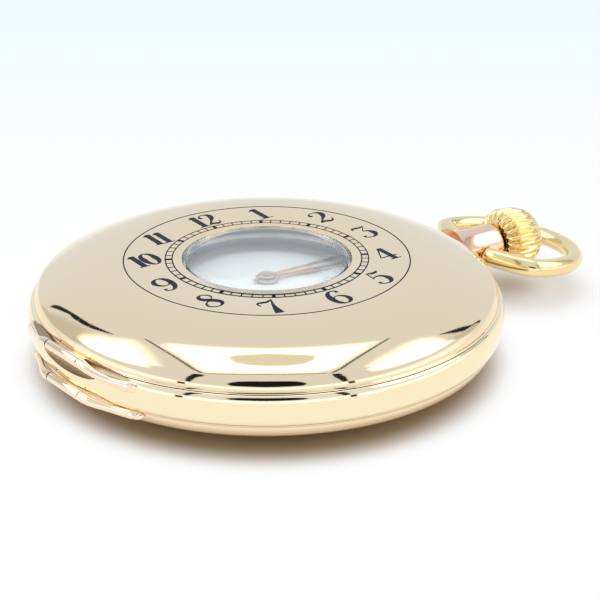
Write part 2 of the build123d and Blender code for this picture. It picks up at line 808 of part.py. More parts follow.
with BuildPart() as crown:
    for along, wide, flute in crown_shares:
        x = crown_start + crown_length * along
        with BuildSketch(stem_plane(x)):
            with BuildLine():
                ridges, valleys = crown_radius * wide, crown_radius * (wide - flute)
                Polyline(*star_points(ridges, valleys, crown_flutes), close=True)
            make_face()
    loft(ruled=True)
    with BuildSketch(stem_plane(crown_start)):
        Circle(stem_radius)
    extrude(amount=crown_length / 2, mode=Mode.SUBTRACT)
save(crown, "crown")

# Stem with its inner pivot, its body, and the shoulder that pushes the lid catch
stem_pivot_radius = 0.35
stem_pivot_length = 1.0
stem_body_start = winding_pinion_start - winding_pinion_length
stem_pivot_start = stem_body_start - stem_pivot_length
pusher_radius = 1.1
pusher_length = 0.6
pusher_gap = 0.05
pusher_start = catch_x + catch_thickness + pusher_gap
with BuildPart() as stem:
    for start, end, radius in (
        (stem_pivot_start, stem_body_start, stem_pivot_radius),
        (stem_body_start, crown_start + crown_length / 2, stem_radius),
        (pusher_start, pusher_start + pusher_length, pusher_radius),
    ):
        with BuildSketch(stem_plane(start)):
            Circle(radius)
        extrude(amount=end - start)
save(stem, "stem")

# Lid catch: a plate that straddles the stem, with a nose over the lid's lip and a spring tail
nose_bottom = 0.42
nose_top = 0.66
nose_length = 0.3
with BuildPart() as lid_catch:
    with BuildSketch(Plane((catch_x, 0, 0), x_dir=(0, 1, 0), z_dir=(1, 0, 0))):
        with BuildLine():
            Polyline(
                (-catch_width / 2, catch_bottom_z),
                (-catch_width / 2, front_joint_z + nose_top),
                (catch_width / 2, front_joint_z + nose_top),
                (catch_width / 2, catch_bottom_z),
                close=True,
            )
        make_face()
        with Locations((0, stem_z)):
            Circle(stem_bore, mode=Mode.SUBTRACT)
        with Locations((0, stem_z - stem_bore)):
            Rectangle(2 * stem_bore, 2 * stem_bore, mode=Mode.SUBTRACT)
    extrude(amount=catch_thickness)
    with BuildSketch(Plane.XY.offset(front_joint_z + nose_bottom)):
        with Locations((catch_x + catch_thickness + nose_length / 2, 0)):
            Rectangle(nose_length, catch_width - 2 * catch_side_play)
    extrude(amount=nose_top - nose_bottom)
    with BuildSketch(Plane.XY.offset(spring_bottom_z)):
        sector(catch_x, catch_x + catch_thickness, degrees(catch_width / 3 / catch_x), catch_tail_angle)
    extrude(amount=spring_top_z - spring_bottom_z)
save(lid_catch, "lid_catch")

with BuildPart() as lift_spring:
    with BuildSketch(Plane.XY.offset(spring_bottom_z)):
        sector(catch_x, catch_x + catch_thickness, lift_start_angle, lift_end_angle)
    extrude(amount=spring_top_z - spring_bottom_z)
    with BuildSketch(Plane.XY.offset(spring_bottom_z)):
        sector(catch_x, catch_x + catch_thickness, lift_post_angle, lift_end_angle)
    extrude(amount=front_joint_z + lip_top - spring_bottom_z)
save(lift_spring, "lift_spring")

pallet_bridge_width = 1.5
pallet_bridge_length = 7.0
pallet_bridge_bottom = balance_pocket_z + joint_gap / 2
pallet_bridge_top = 4.95
small_screw_radius = 0.2
small_head_radius = 0.42
small_head_height = 0.14
minute_stud_radius = 0.25
minute_stud_height = 0.8
recess_play = 0.35
pocket_play = 0.25
pallet_pocket_radius = 2.1
roller_pocket_radius = 1.6
lever_slot_width = 1.8
across_angle = lever_angle + pi / 2
pallet_screw_distance = (pallet_bridge_length - pallet_bridge_width) / 2
pallet_screw_places = [polar(side * pallet_screw_distance, across_angle, pallet_place) for side in (-1, 1)]

# Main plate
with BuildPart() as main_plate:
    with BuildSketch(Plane.XY.offset(plate_bottom)):
        Circle(plate_radius)
    extrude(amount=plate_top - plate_bottom)
    with BuildSketch(Plane.XY.offset(shelf_z + seat_gap)):
        Circle(plate_flange)
        Circle(dial_radius - foot_width, mode=Mode.SUBTRACT)
    extrude(amount=dial_bottom - shelf_z - seat_gap)
    # Recess of the barrel, pockets of the balance and the escapement, tunnel of the keyless work
    recess_radius = barrel_module * barrel_teeth / 2 + recess_play
    round_hole(barrel_place, plate_bottom - overrun, barrel_top + seat_gap * 2, recess_radius)
    round_hole((0, 0), plate_bottom - overrun, plate_bottom + joint_gap, barrel_module * centre_pinion_teeth)
    round_hole(balance_place, plate_bottom - overrun, balance_pocket_z, balance_radius + recess_play)
    round_hole(escape_place, plate_bottom - overrun, escape_pocket_z, escape_wheel_radius + pocket_play)
    round_hole(pallet_place, plate_bottom - overrun, escape_pocket_z, pallet_pocket_radius)
    round_hole(balance_place, plate_bottom - overrun, escape_pocket_z, roller_pocket_radius)
    with BuildSketch(Plane((pallet_place[0], pallet_place[1], balance_pocket_z - seat_gap))):
        Rectangle(
            2 * hypot(balance_place[0] - pallet_place[0], balance_place[1] - pallet_place[1]),
            lever_slot_width,
            rotation=degrees(lever_angle),
        )
    extrude(amount=escape_pocket_z - balance_pocket_z, mode=Mode.SUBTRACT)
    with BuildSketch(stem_plane(winding_pinion_start - tunnel_play)):
        Circle(tunnel_radius)
    extrude(amount=winding_pinion_length + sliding_pinion_length + 4 * tunnel_play, mode=Mode.SUBTRACT)
    with BuildSketch(stem_plane(stem_body_start - catch_travel - 2 * running)):
        Circle(stem_radius + running)
    extrude(amount=case_radius, mode=Mode.SUBTRACT)
    with BuildSketch(stem_plane(stem_pivot_start - catch_travel - tunnel_play)):
        Circle(stem_pivot_radius + running)
    extrude(amount=case_radius, mode=Mode.SUBTRACT)
    # Pivot holes
    for place in (third_place, escape_place, pallet_place, balance_place):
        round_hole(place, plate_bottom - overrun, plate_top - pivot_floor, pivot_radius + running)
    round_hole(fourth_place, plate_bottom - overrun, plate_top + overrun, pivot_radius + running)
    round_hole((0, 0), plate_bottom - overrun, plate_top + overrun, 1.5 * centre_arbor_radius + running)
    arbor_hole_end = plate_top - pivot_floor / 2
    round_hole(barrel_place, plate_bottom - overrun, arbor_hole_end, barrel_pivot_radius + running)
    for place in bridge_screw_places + [cock_screw_place]:
        hole_end = bridge_bottom + screw_length + 2 * screw_play
        round_hole(place, plate_bottom - overrun, hole_end, screw_shank_radius + seat_gap)
    for place in case_screw_places:
        round_hole(place, plate_bottom - overrun, plate_top, screw_shank_radius + seat_gap)
    # Seat of the pallet bridge, across the lever
    with BuildSketch(Plane((pallet_place[0], pallet_place[1], plate_bottom))):
        Rectangle(
            pallet_bridge_width + 2 * seat_gap,
            pallet_bridge_length + 2 * seat_gap,
            rotation=degrees(lever_angle),
        )
    extrude(amount=pallet_bridge_top + seat_gap - plate_bottom, mode=Mode.SUBTRACT)
    for place in pallet_screw_places:
        round_hole(place, plate_bottom, escape_pocket_z + joint_gap, small_screw_radius + seat_gap)
    # Stud of the minute wheel
    arbor(minute_wheel_place, [(plate_top, plate_top + minute_stud_height, minute_stud_radius)])
save(main_plate, "main_plate")


def bridge_outline(points):
    """Flat bridge inside the movement's radius, with a foot along the rim that reaches the plate."""
    with BuildSketch(Plane.XY.offset(bridge_bottom)) as section:
        with BuildLine():
            Polyline(*points, close=True)
        make_face()
        Circle(bridge_radius, mode=Mode.INTERSECT)
    extrude(section.sketch, amount=plate_bottom - bridge_bottom)
    with BuildSketch(Plane.XY.offset(bridge_top)) as hollow:
        Circle(bridge_radius - foot_width)
    extrude(hollow.sketch, amount=plate_bottom - bridge_top + overrun, mode=Mode.SUBTRACT)


def pivot_seat(place):
    """Seat of a jewel at the bridge's outer face, with the pivot's way through."""
    round_hole(place, bridge_bottom - overrun, bridge_bottom + jewel_thickness, jewel_radius)
    round_hole(place, bridge_bottom, bridge_top + overrun, pivot_radius + 2 * running)


def screw_seat(place):
    seat_top = bridge_bottom + screw_head_height + screw_play
    round_hole(place, bridge_bottom - overrun, seat_top, screw_head_radius + screw_play)
    round_hole(place, bridge_bottom - overrun, plate_bottom + overrun, screw_shank_radius + seat_gap)


# Click of the ratchet wheel and its spring, both on studs in the barrel bridge
ratchet_radius = winding_module * ratchet_teeth / 2
click_stud_radius = 0.35
click_distance = 1.6
click_direction = radians(95)
click_place = polar(ratchet_radius + click_distance, click_direction, barrel_place)
click_spring_distance = 1.5
click_spring_direction = radians(52)
click_spring_place = polar(ratchet_radius + click_spring_distance, click_spring_direction, barrel_place)

# Plan outlines of the two bridges, as shares of the bridge radius
barrel_bridge_shares = [
    (1.29, 0.155), (0.65, 0.124), (0.65, -0.227), (0.36, -0.227), (0.083, -0.077),
    (-0.093, -0.077), (-0.49, 0.335), (-0.876, 1.289), (1.29, 1.289),
]
train_bridge_shares = [
    (1.29, -0.268), (0.31, -0.268), (0.268, -0.186), (0.062, -0.186),
    (-0.35, -0.443), (-0.696, -1.289), (1.29, -1.289),
]

with BuildPart() as barrel_bridge:
    bridge_outline([(bridge_radius * x, bridge_radius * y) for x, y in barrel_bridge_shares])
    with BuildSketch(Plane((crown_wheel_place[0], crown_wheel_place[1], bridge_top))):
        Circle(crown_hub_radius)
    extrude(amount=crown_wheel_top + seat_gap - bridge_top)
    round_hole(barrel_place, bridge_bottom - overrun, bridge_top + overrun, barrel_arbor_radius + running)
    hole_bottom = bridge_top - screw_head_height
    round_hole(crown_wheel_place, hole_bottom, crown_wheel_top + overrun, screw_shank_radius + seat_gap)
    pivot_seat((0, 0))
    round_hole((0, 0), bridge_bottom + jewel_thickness, bridge_top + overrun, 1.5 * centre_arbor_radius)
    for place in (click_place, click_spring_place):
        round_hole(place, bridge_bottom - overrun, bridge_top + overrun, click_stud_radius + seat_gap)
    for place in bridge_screw_places[:3]:
        screw_seat(place)
save(barrel_bridge, "barrel_bridge")

with BuildPart() as train_bridge:
    bridge_outline([(bridge_radius * x, bridge_radius * y) for x, y in train_bridge_shares])
    opening_radius = balance_radius + movement_play
    round_hole(balance_place, bridge_bottom - overrun, plate_bottom + overrun, opening_radius)
    for place in (third_place, fourth_place, escape_place):
        pivot_seat(place)
    for place in bridge_screw_places[3:]:
        screw_seat(place)
save(train_bridge, "train_bridge")

# Balance cock: a foot at the rim, a neck, a round table over the balance's pivot and the hairspring's stud
cock_table_radius = 2.6
cock_thickness = 0.55
cock_boss_radius = 0.85
cock_boss_height = 0.25
cock_foot_width = 2.4
cock_foot_inner = bridge_radius - cock_foot_width
cock_neck_width = 3.0
stud_radius = 0.28
hairspring_radius = 3.3
hairspring_bottom, hairspring_top = 3.35, 3.55
cock_neck_end = polar(cock_foot_inner + cock_neck_width / 2, radians((cock_foot_start + cock_foot_end) / 2))
neck_run = (cock_neck_end[0] - balance_place[0], cock_neck_end[1] - balance_place[1])
neck_angle = atan2(neck_run[1], neck_run[0])
neck_middle = (balance_place[0] + neck_run[0] / 2, balance_place[1] + neck_run[1] / 2)
stud_place = polar(hairspring_radius, neck_angle, balance_place)
with BuildPart() as balance_cock:
    with BuildSketch(Plane.XY.offset(bridge_bottom)):
        sector(cock_foot_inner, bridge_radius, cock_foot_start, cock_foot_end)
        with Locations(balance_place):
            Circle(cock_table_radius)
        with Locations(neck_middle):
            Rectangle(hypot(*neck_run), cock_neck_width, rotation=degrees(neck_angle))
    extrude(amount=cock_thickness)
    with BuildSketch(Plane.XY.offset(bridge_bottom)):
        sector(cock_foot_inner, bridge_radius, cock_foot_start, cock_foot_end)
    extrude(amount=plate_bottom - bridge_bottom)
    arbor(balance_place, [(bridge_bottom - cock_boss_height, bridge_bottom, cock_boss_radius)])
    arbor(stud_place, [(bridge_bottom, hairspring_bottom, stud_radius)])
    round_hole(balance_place, bridge_bottom - overrun, plate_bottom, pivot_radius + running)
    cock_seat_top = bridge_bottom - cock_boss_height + jewel_thickness
    round_hole(balance_place, bridge_bottom - overrun, cock_seat_top, jewel_radius)
    screw_seat(cock_screw_place)
save(balance_cock, "balance_cock")

# Regulator: a ring on the cock's boss with a pointer
regulator_thickness = 0.2
regulator_width = 0.6
regulator_length = 4.2
regulator_angle = neck_angle - radians(62)
with BuildPart() as regulator:
    regulator_bottom = bridge_bottom - running - regulator_thickness
    tip_place = polar(regulator_length, regulator_angle, balance_place)
    side_angle = regulator_angle + pi / 2
    with BuildSketch(Plane.XY.offset(regulator_bottom)):
        with Locations(balance_place):
            Circle(cock_boss_radius + running + regulator_width)
        with BuildLine():
            Polyline(
                polar(cock_boss_radius, side_angle, balance_place),
                tip_place,
                polar(cock_boss_radius, side_angle + pi, balance_place),
                close=True,
            )
        make_face()
        with Locations(balance_place):
            Circle(cock_boss_radius + running, mode=Mode.SUBTRACT)
    extrude(amount=regulator_thickness)
save(regulator, "regulator")

# Pallet bridge, flat across the lever, with its two small screws
with BuildPart() as pallet_bridge:
    with BuildSketch(Plane((pallet_place[0], pallet_place[1], pallet_bridge_bottom))):
        Rectangle(pallet_bridge_width, pallet_bridge_length, rotation=degrees(lever_angle))
    extrude(amount=pallet_bridge_top - pallet_bridge_bottom)
    round_hole(pallet_place, plate_bottom, plate_top, pivot_radius + running)
    for place in pallet_screw_places:
        round_hole(place, plate_bottom, plate_top, small_screw_radius + seat_gap)
        head_seat_top = pallet_bridge_bottom + small_head_height
        round_hole(place, plate_bottom, head_seat_top, small_head_radius + seat_gap)
save(pallet_bridge, "pallet_bridge")

with BuildPart() as pallet_bridge_screws:
    for place in pallet_screw_places:
        arbor(
            place,
            [
                (pallet_bridge_bottom, pallet_bridge_bottom + small_head_height, small_head_radius),
                (pallet_bridge_bottom, escape_pocket_z, small_screw_radius),
            ],
        )
save(pallet_bridge_screws, "pallet_bridge_screws")

# Screws of the bridges and the case, and the jewels in the bridges
with BuildPart() as bridge_screws:
    for place in bridge_screw_places + [cock_screw_place]:
        arbor(
            place,
            [
                (bridge_bottom + seat_gap, bridge_bottom + screw_head_height, screw_head_radius),
                (bridge_bottom + seat_gap, bridge_bottom + screw_length, screw_shank_radius),
            ],
        )
save(bridge_screws, "bridge_screws")

with BuildPart() as case_screws:
    for place in case_screw_places:
        arbor(
            place,
            [
                (plate_bottom - seat_gap - screw_head_height, plate_bottom - seat_gap, case_screw_head),
                (plate_bottom - seat_gap - screw_head_height, shelf_z, screw_shank_radius),
            ],
        )
save(case_screws, "case_screws")

with BuildPart() as jewels:
    for place, bottom in (
        ((0, 0), bridge_bottom),
        (third_place, bridge_bottom),
        (fourth_place, bridge_bottom),
        (escape_place, bridge_bottom),
        (balance_place, bridge_bottom - cock_boss_height),
    ):
        arbor(place, [(bottom + seat_gap, bottom + jewel_thickness, jewel_radius - seat_gap)])
        round_hole(place, bottom - overrun, bottom + overrun, pivot_radius + running)
save(jewels, "jewels")

# Going barrel: toothed drum, cover, arbor and mainspring
drum_floor = 0.3
barrel_hub_radius = 1.4
arbor_square = 1.2
mainspring_turns = 5
mainspring_steps = 16
mainspring_thickness = 0.14
with BuildPart() as barrel_drum:
    toothed_disc(barrel_place, barrel_bottom, barrel_rim_thickness, barrel_teeth, barrel_module, barrel_line)
    arbor(barrel_place, [(barrel_bottom, barrel_drum_top, barrel_wall_radius)])
    round_hole(barrel_place, barrel_bottom + drum_floor, barrel_top, barrel_bore)
    round_hole(barrel_place, barrel_bottom - overrun, barrel_top, barrel_arbor_radius + running)
save(barrel_drum, "barrel_drum")

with BuildPart() as barrel_cover:
    arbor(barrel_place, [(barrel_drum_top, barrel_top, barrel_wall_radius)])
    round_hole(barrel_place, barrel_drum_top - overrun, barrel_top + overrun, barrel_pivot_radius + running)
save(barrel_cover, "barrel_cover")

with BuildPart() as barrel_arbor:
    square_bottom = ratchet_bottom - seat_gap
    square_top = ratchet_bottom + ratchet_thickness
    hub_bottom = barrel_bottom + drum_floor + seat_gap
    arbor(
        barrel_place,
        [
            (bridge_bottom, square_bottom, barrel_arbor_radius),
            (square_top, hub_bottom, barrel_arbor_radius),
            (hub_bottom, barrel_drum_top - seat_gap, barrel_hub_radius),
            (hub_bottom, plate_top - 2 * pivot_radius, barrel_pivot_radius),
        ],
    )
    with BuildSketch(Plane((barrel_place[0], barrel_place[1], square_bottom))):
        Rectangle(arbor_square, arbor_square)
    extrude(amount=square_top - square_bottom)
save(barrel_arbor, "barrel_arbor")


def spiral_points(centre, start_radius, end_radius, turns, steps, thickness, end_angle):
    """Closed outline of a ribbon wound in a spiral."""
    count = turns * steps
    outside, inside = [], []
    for index in range(count + 1):
        share = index / count
        radius = start_radius + (end_radius - start_radius) * share
        angle = end_angle - (1 - share) * turns * 2 * pi
        outside.append(polar(radius + thickness / 2, angle, centre))
        inside.append(polar(radius - thickness / 2, angle, centre))
    return outside + inside[::-1]


with BuildPart() as mainspring:
    with BuildSketch(Plane.XY.offset(hub_bottom + seat_gap)):
        with BuildLine():
            Polyline(
                *spiral_points(
                    barrel_place,
                    barrel_hub_radius + mainspring_thickness,
                    barrel_bore - mainspring_thickness,
                    mainspring_turns,
                    mainspring_steps,
                    mainspring_thickness,
                    barrel_angle,
                ),
                close=True,
            )
        make_face()
    extrude(amount=barrel_drum_top - 2 * seat_gap - hub_bottom - seat_gap)
save(mainspring, "mainspring")

# Winding train: ratchet wheel, crown wheel with its screw, and the two pinions on the stem
crown_wheel_line = atan2(crown_wheel_place[1] - barrel_place[1], crown_wheel_place[0] - barrel_place[0])
crown_wheel_phase = pi / crown_wheel_teeth
ratchet_phase = mesh_phase(crown_wheel_phase, crown_wheel_teeth, ratchet_teeth, crown_wheel_line + pi)
with BuildPart() as ratchet_wheel:
    toothed_disc(
        barrel_place,
        ratchet_bottom,
        ratchet_thickness,
        ratchet_teeth,
        winding_module,
        ratchet_phase,
        root_share=winding_root_share,
    )
    with BuildSketch(Plane((barrel_place[0], barrel_place[1], ratchet_bottom))):
        Rectangle(arbor_square + 2 * seat_gap, arbor_square + 2 * seat_gap)
    extrude(amount=ratchet_thickness, mode=Mode.SUBTRACT)
save(ratchet_wheel, "ratchet_wheel")

crown_recess_radius = 2.5
with BuildPart() as crown_wheel:
    toothed_disc(
        crown_wheel_place,
        ratchet_bottom,
        crown_wheel_top - ratchet_bottom,
        crown_wheel_teeth,
        winding_module,
        crown_wheel_phase,
        root_share=winding_root_share,
    )
    round_hole(
        crown_wheel_place, ratchet_bottom + ratchet_thickness, crown_wheel_top + overrun, crown_recess_radius
    )
    round_hole(crown_wheel_place, ratchet_bottom - overrun, crown_wheel_top, crown_hub_radius + running)
save(crown_wheel, "crown_wheel")

with BuildPart() as crown_wheel_screw:
    head_bottom = crown_wheel_top + seat_gap
    arbor(
        crown_wheel_place,
        [
            (head_bottom, head_bottom + screw_head_height / 2, crown_recess_radius - crown_hub_radius),
            (bridge_top - screw_head_height / 2, head_bottom, screw_shank_radius),
        ],
    )
save(crown_wheel_screw, "crown_wheel_screw")

sliding_pinion_start = winding_pinion_start + winding_pinion_length + 2 * running
with BuildPart() as winding_pinion:
    with BuildSketch(stem_plane(winding_pinion_start)):
        with BuildLine():
            Polyline(
                *gear_points(
                    winding_pinion_teeth, winding_module, -pi / 2, winding_tip_share, pinion_root_share
                ),
                close=True,
            )
        make_face()
    extrude(amount=winding_pinion_width)
    with BuildSketch(stem_plane(winding_pinion_start)):
        Circle(sliding_pinion_radius * neck_share)
    extrude(amount=winding_pinion_length)
    with BuildSketch(stem_plane(winding_pinion_start)):
        Circle(stem_radius + running)
    extrude(amount=winding_pinion_length, mode=Mode.SUBTRACT)
save(winding_pinion, "winding_pinion")

with BuildPart() as sliding_pinion:
    groove = sliding_pinion_length / 3
    with BuildSketch(stem_plane(sliding_pinion_start)):
        Circle(sliding_pinion_radius)
        Circle(stem_radius + running, mode=Mode.SUBTRACT)
    extrude(amount=sliding_pinion_length)
    with BuildSketch(stem_plane(sliding_pinion_start + groove)):
        Circle(sliding_pinion_radius)
        Circle(sliding_pinion_radius * neck_share, mode=Mode.SUBTRACT)
    extrude(amount=groove, mode=Mode.SUBTRACT)
save(sliding_pinion, "sliding_pinion")

with BuildPart() as click:
    beak = polar(ratchet_radius + winding_module, click_direction + radians(4), barrel_place)
    with BuildSketch(Plane.XY.offset(ratchet_bottom - seat_gap)):
        with Locations(click_place):
            Circle(2 * click_stud_radius)
        with BuildLine():
            Polyline(
                polar(2 * click_stud_radius, click_direction, click_place),
                polar(2 * click_stud_radius, click_direction + pi, click_place),
                beak,
                close=True,
            )
        make_face()
    extrude(amount=ratchet_thickness)
    arbor(click_place, [(bridge_bottom + joint_gap, ratchet_bottom, click_stud_radius)])
save(click, "click")

with BuildPart() as click_spring:
    spring_width = 0.2
    spring_rise = 2.0
    spring_reach = ratchet_radius + spring_rise
    spring_foot = ratchet_radius + click_spring_distance
    spring_bend, spring_end = radians(72), radians(87)
    with BuildSketch(Plane.XY.offset(ratchet_bottom - seat_gap)):
        with Locations(click_spring_place):
            Circle(1.6 * click_stud_radius)
        with BuildLine():
            Polyline(
                polar(spring_foot, click_spring_direction, barrel_place),
                polar(spring_reach, spring_bend, barrel_place),
                polar(spring_reach - spring_width, spring_end, barrel_place),
                polar(spring_reach - 2 * spring_width, spring_end, barrel_place),
                polar(spring_reach - spring_width, spring_bend, barrel_place),
                polar(spring_foot - spring_width, click_spring_direction + radians(2), barrel_place),
                close=True,
            )
        make_face()
    extrude(amount=ratchet_thickness)
    arbor(click_spring_place, [(bridge_bottom + joint_gap, ratchet_bottom, click_stud_radius)])
save(click_spring, "click_spring")

# Going train
arbor_bottom = bridge_bottom + jewel_thickness / 2
centre_pivot_z = shelf_z
plate_pivot_top = plate_top - pivot_floor - joint_gap
pinion_side = 0.05
cannon_pipe_radius = 0.5
cannon_bottom = plate_top + joint_gap
motion_wheel_z = cannon_bottom + running
motion_thickness = 0.18
hour_wheel_z = 6.75
hour_pipe_radius = 0.8
hour_hand_z = 7.85
minute_hand_z = 8.15
seconds_hand_z = 7.66
hand_thickness = 0.14
hand_post_top = minute_hand_z + 2 * hand_thickness

with BuildPart() as centre_wheel:
    toothed_disc((0, 0), centre_wheel_z, train_thickness, centre_teeth, centre_module, third_line)
    crossings((0, 0), centre_wheel_z, train_thickness, centre_module * centre_teeth / 2)
    toothed_disc(
        (0, 0),
        barrel_bottom,
        barrel_rim_thickness,
        centre_pinion_teeth,
        barrel_module,
        centre_pinion_phase,
        pinion_tip_share,
        pinion_root_share,
    )
    arbor(
        (0, 0),
        [
            (arbor_bottom, bridge_top + joint_gap, pivot_radius),
            (bridge_top + joint_gap, plate_bottom, 2 * centre_arbor_radius),
            (plate_bottom, centre_pivot_z, 1.5 * centre_arbor_radius),
            (centre_pivot_z, hand_post_top, centre_arbor_radius),
        ],
    )
save(centre_wheel, "centre_wheel")

with BuildPart() as third_wheel:
    toothed_disc(
        third_place,
        centre_wheel_z - pinion_side,
        train_thickness + 2 * pinion_side,
        third_pinion_teeth,
        centre_module,
        third_pinion_phase,
        pinion_tip_share,
        pinion_root_share,
    )
    toothed_disc(third_place, third_wheel_z, train_thickness, third_teeth, third_module, fourth_line)
    crossings(third_place, third_wheel_z, train_thickness, third_module * third_teeth / 2)
    arbor(
        third_place,
        [
            (arbor_bottom, bridge_top + joint_gap, pivot_radius),
            (bridge_top + joint_gap, plate_bottom - joint_gap, arbor_radius),
            (plate_bottom - joint_gap, plate_pivot_top, pivot_radius),
        ],
    )
save(third_wheel, "third_wheel")

with BuildPart() as fourth_wheel:
    toothed_disc(fourth_place, fourth_wheel_z, train_thickness, fourth_teeth, fourth_module, escape_angle)
    crossings(fourth_place, fourth_wheel_z, train_thickness, fourth_module * fourth_teeth / 2)
    toothed_disc(
        fourth_place,
        third_wheel_z - pinion_side,
        train_thickness + 2 * pinion_side,
        fourth_pinion_teeth,
        third_module,
        fourth_pinion_phase,
        pinion_tip_share,
        pinion_root_share,
    )
    arbor(
        fourth_place,
        [
            (arbor_bottom, bridge_top + joint_gap, pivot_radius),
            (bridge_top + joint_gap, plate_bottom - joint_gap, arbor_radius),
            (plate_bottom - joint_gap, seconds_hand_z + hand_thickness, pivot_radius),
        ],
    )
save(fourth_wheel, "fourth_wheel")

# A tooth of the escape wheel, as shares of the wheel's radius and of the tooth's pitch
escape_root_share = 0.8
escape_tooth_shares = [(1.0, 0.0), (0.98, 0.143), (escape_root_share, 0.239), (escape_root_share, 0.668)]
with BuildPart() as escape_wheel:
    toothed_disc(
        escape_place,
        fourth_wheel_z - pinion_side,
        train_thickness + 2 * pinion_side,
        escape_pinion_teeth,
        fourth_module,
        escape_pinion_phase,
        pinion_tip_share,
        pinion_root_share,
    )
    first_tooth = lever_angle + pi / 6
    tooth_pitch = 2 * pi / escape_wheel_teeth
    points = []
    for index in range(escape_wheel_teeth):
        for radius_share, pitch_share in escape_tooth_shares:
            turn = first_tooth + tooth_pitch * (index + pitch_share)
            points.append(polar(escape_wheel_radius * radius_share, turn))
    with BuildSketch(Plane((escape_place[0], escape_place[1], escape_wheel_z))):
        with BuildLine():
            Polyline(*points, close=True)
        make_face()
    extrude(amount=0.75 * train_thickness)
    crossings(escape_place, escape_wheel_z, train_thickness, escape_wheel_radius * escape_root_share)
    arbor(
        escape_place,
        [
            (arbor_bottom, bridge_top + joint_gap, pivot_radius),
            (bridge_top + joint_gap, escape_pocket_z - joint_gap, 0.8 * arbor_radius),
            (escape_pocket_z - joint_gap, plate_pivot_top, pivot_radius),
        ],
    )
save(escape_wheel, "escape_wheel")

# Pallet fork: arbor, two arms with their stones, and the lever with its notch
fork_z = 5.08
fork_thickness = 0.16
fork_width = 0.32
notch_half = 0.17
roller_pin_radius = 0.12
roller_pin_reach = 0.85
balance_distance = hypot(balance_place[0] - pallet_place[0], balance_place[1] - pallet_place[1])
fork_overlap = 0.15
fork_end = balance_distance - roller_pin_reach + fork_overlap
pallet_arm_depth = 0.8
entry_share, exit_share = 1.02, 0.96
with BuildPart() as pallet_fork:
    stone_angle = pi / 6
    lever_direction = (cos(lever_angle), sin(lever_angle), 0)
    fork_plane = Plane((pallet_place[0], pallet_place[1], fork_z), x_dir=lever_direction, z_dir=(0, 0, 1))
    with BuildSketch(fork_plane):
        Circle(2 * fork_width)
        with Locations((fork_end / 2, 0)):
            Rectangle(fork_end, fork_width)
        with Locations((fork_end - fork_width, 0)):
            Rectangle(2 * fork_width, 4 * notch_half)
        with Locations((fork_end, 0)):
            Rectangle(2.4 * fork_width, 2 * notch_half, mode=Mode.SUBTRACT)
        for side in (-1, 1):
            reach = escape_wheel_radius * (entry_share if side > 0 else exit_share)
            stone = (reach * cos(stone_angle) - pallet_distance, side * reach * sin(stone_angle))
            outer = (
                (reach + pallet_arm_depth) * cos(stone_angle) - pallet_distance,
                side * (reach + pallet_arm_depth) * sin(stone_angle),
            )
            with BuildLine():
                Polyline(
                    (0, -side * fork_width / 3),
                    (outer[0] + fork_width / 2, outer[1]),
                    outer,
                    (stone[0] + fork_width / 3, stone[1] + side * fork_width / 5),
                    (stone[0] - fork_width / 12, stone[1] - side * fork_width / 5),
                    (outer[0] - fork_width, outer[1] - side * 2 * fork_width),
                    (0, side * fork_width),
                    close=True,
                )
            make_face()
    extrude(amount=fork_thickness)
    arbor(
        pallet_place,
        [
            (pallet_bridge_bottom, plate_pivot_top, pivot_radius),
            (pallet_bridge_top + joint_gap, escape_pocket_z - joint_gap, 0.8 * arbor_radius),
        ],
    )
save(pallet_fork, "pallet_fork")

# Balance wheel with two arms, its staff with roller and impulse pin, and the hairspring on the cock's stud
balance_rim_width = 0.7
balance_rim_height = 0.55
balance_arm_width = 1.0
balance_hub_radius = 1.4
with BuildPart() as balance_wheel:
    with BuildSketch(Plane((balance_place[0], balance_place[1], balance_rim_z))):
        Circle(balance_radius)
        Circle(balance_radius - balance_rim_width, mode=Mode.SUBTRACT)
    extrude(amount=balance_rim_height)
    with BuildSketch(Plane((balance_place[0], balance_place[1], balance_arm_z))):
        Circle(balance_hub_radius)
        Rectangle(2 * balance_radius - balance_rim_width, balance_arm_width, rotation=degrees(neck_angle))
        Circle(arbor_radius + seat_gap, mode=Mode.SUBTRACT)
    extrude(amount=balance_arm_thickness)
save(balance_wheel, "balance_wheel")

collet_radius = 0.5
collet_drop = 0.1
staff_step = 0.05
roller_bottom, roller_top = 4.72, 4.92
with BuildPart() as balance_staff:
    roller_angle = lever_angle + pi
    pin_place = polar(roller_pin_reach, roller_angle, balance_place)
    arbor(
        balance_place,
        [
            (bridge_bottom - cock_boss_height + jewel_thickness / 2, plate_pivot_top, pivot_radius),
            (hairspring_bottom - collet_drop, balance_arm_z - staff_step, collet_radius),
            (balance_arm_z - staff_step, escape_pocket_z - joint_gap, arbor_radius),
            (roller_bottom, roller_top, roller_pin_reach + 2 * roller_pin_radius),
        ],
    )
    arbor(pin_place, [(roller_bottom, fork_z + fork_thickness + joint_gap, roller_pin_radius)])
save(balance_staff, "balance_staff")

hairspring_play = 0.14
hairspring_turns = 6
hairspring_steps = 14
hairspring_thickness = 0.06
with BuildPart() as hairspring:
    with BuildSketch(Plane.XY.offset(hairspring_bottom)):
        with BuildLine():
            Polyline(
                *spiral_points(
                    balance_place,
                    collet_radius + hairspring_play,
                    hairspring_radius,
                    hairspring_turns,
                    hairspring_steps,
                    hairspring_thickness,
                    neck_angle,
                ),
                close=True,
            )
        make_face()
    extrude(amount=hairspring_top - hairspring_bottom)
save(hairspring, "hairspring")

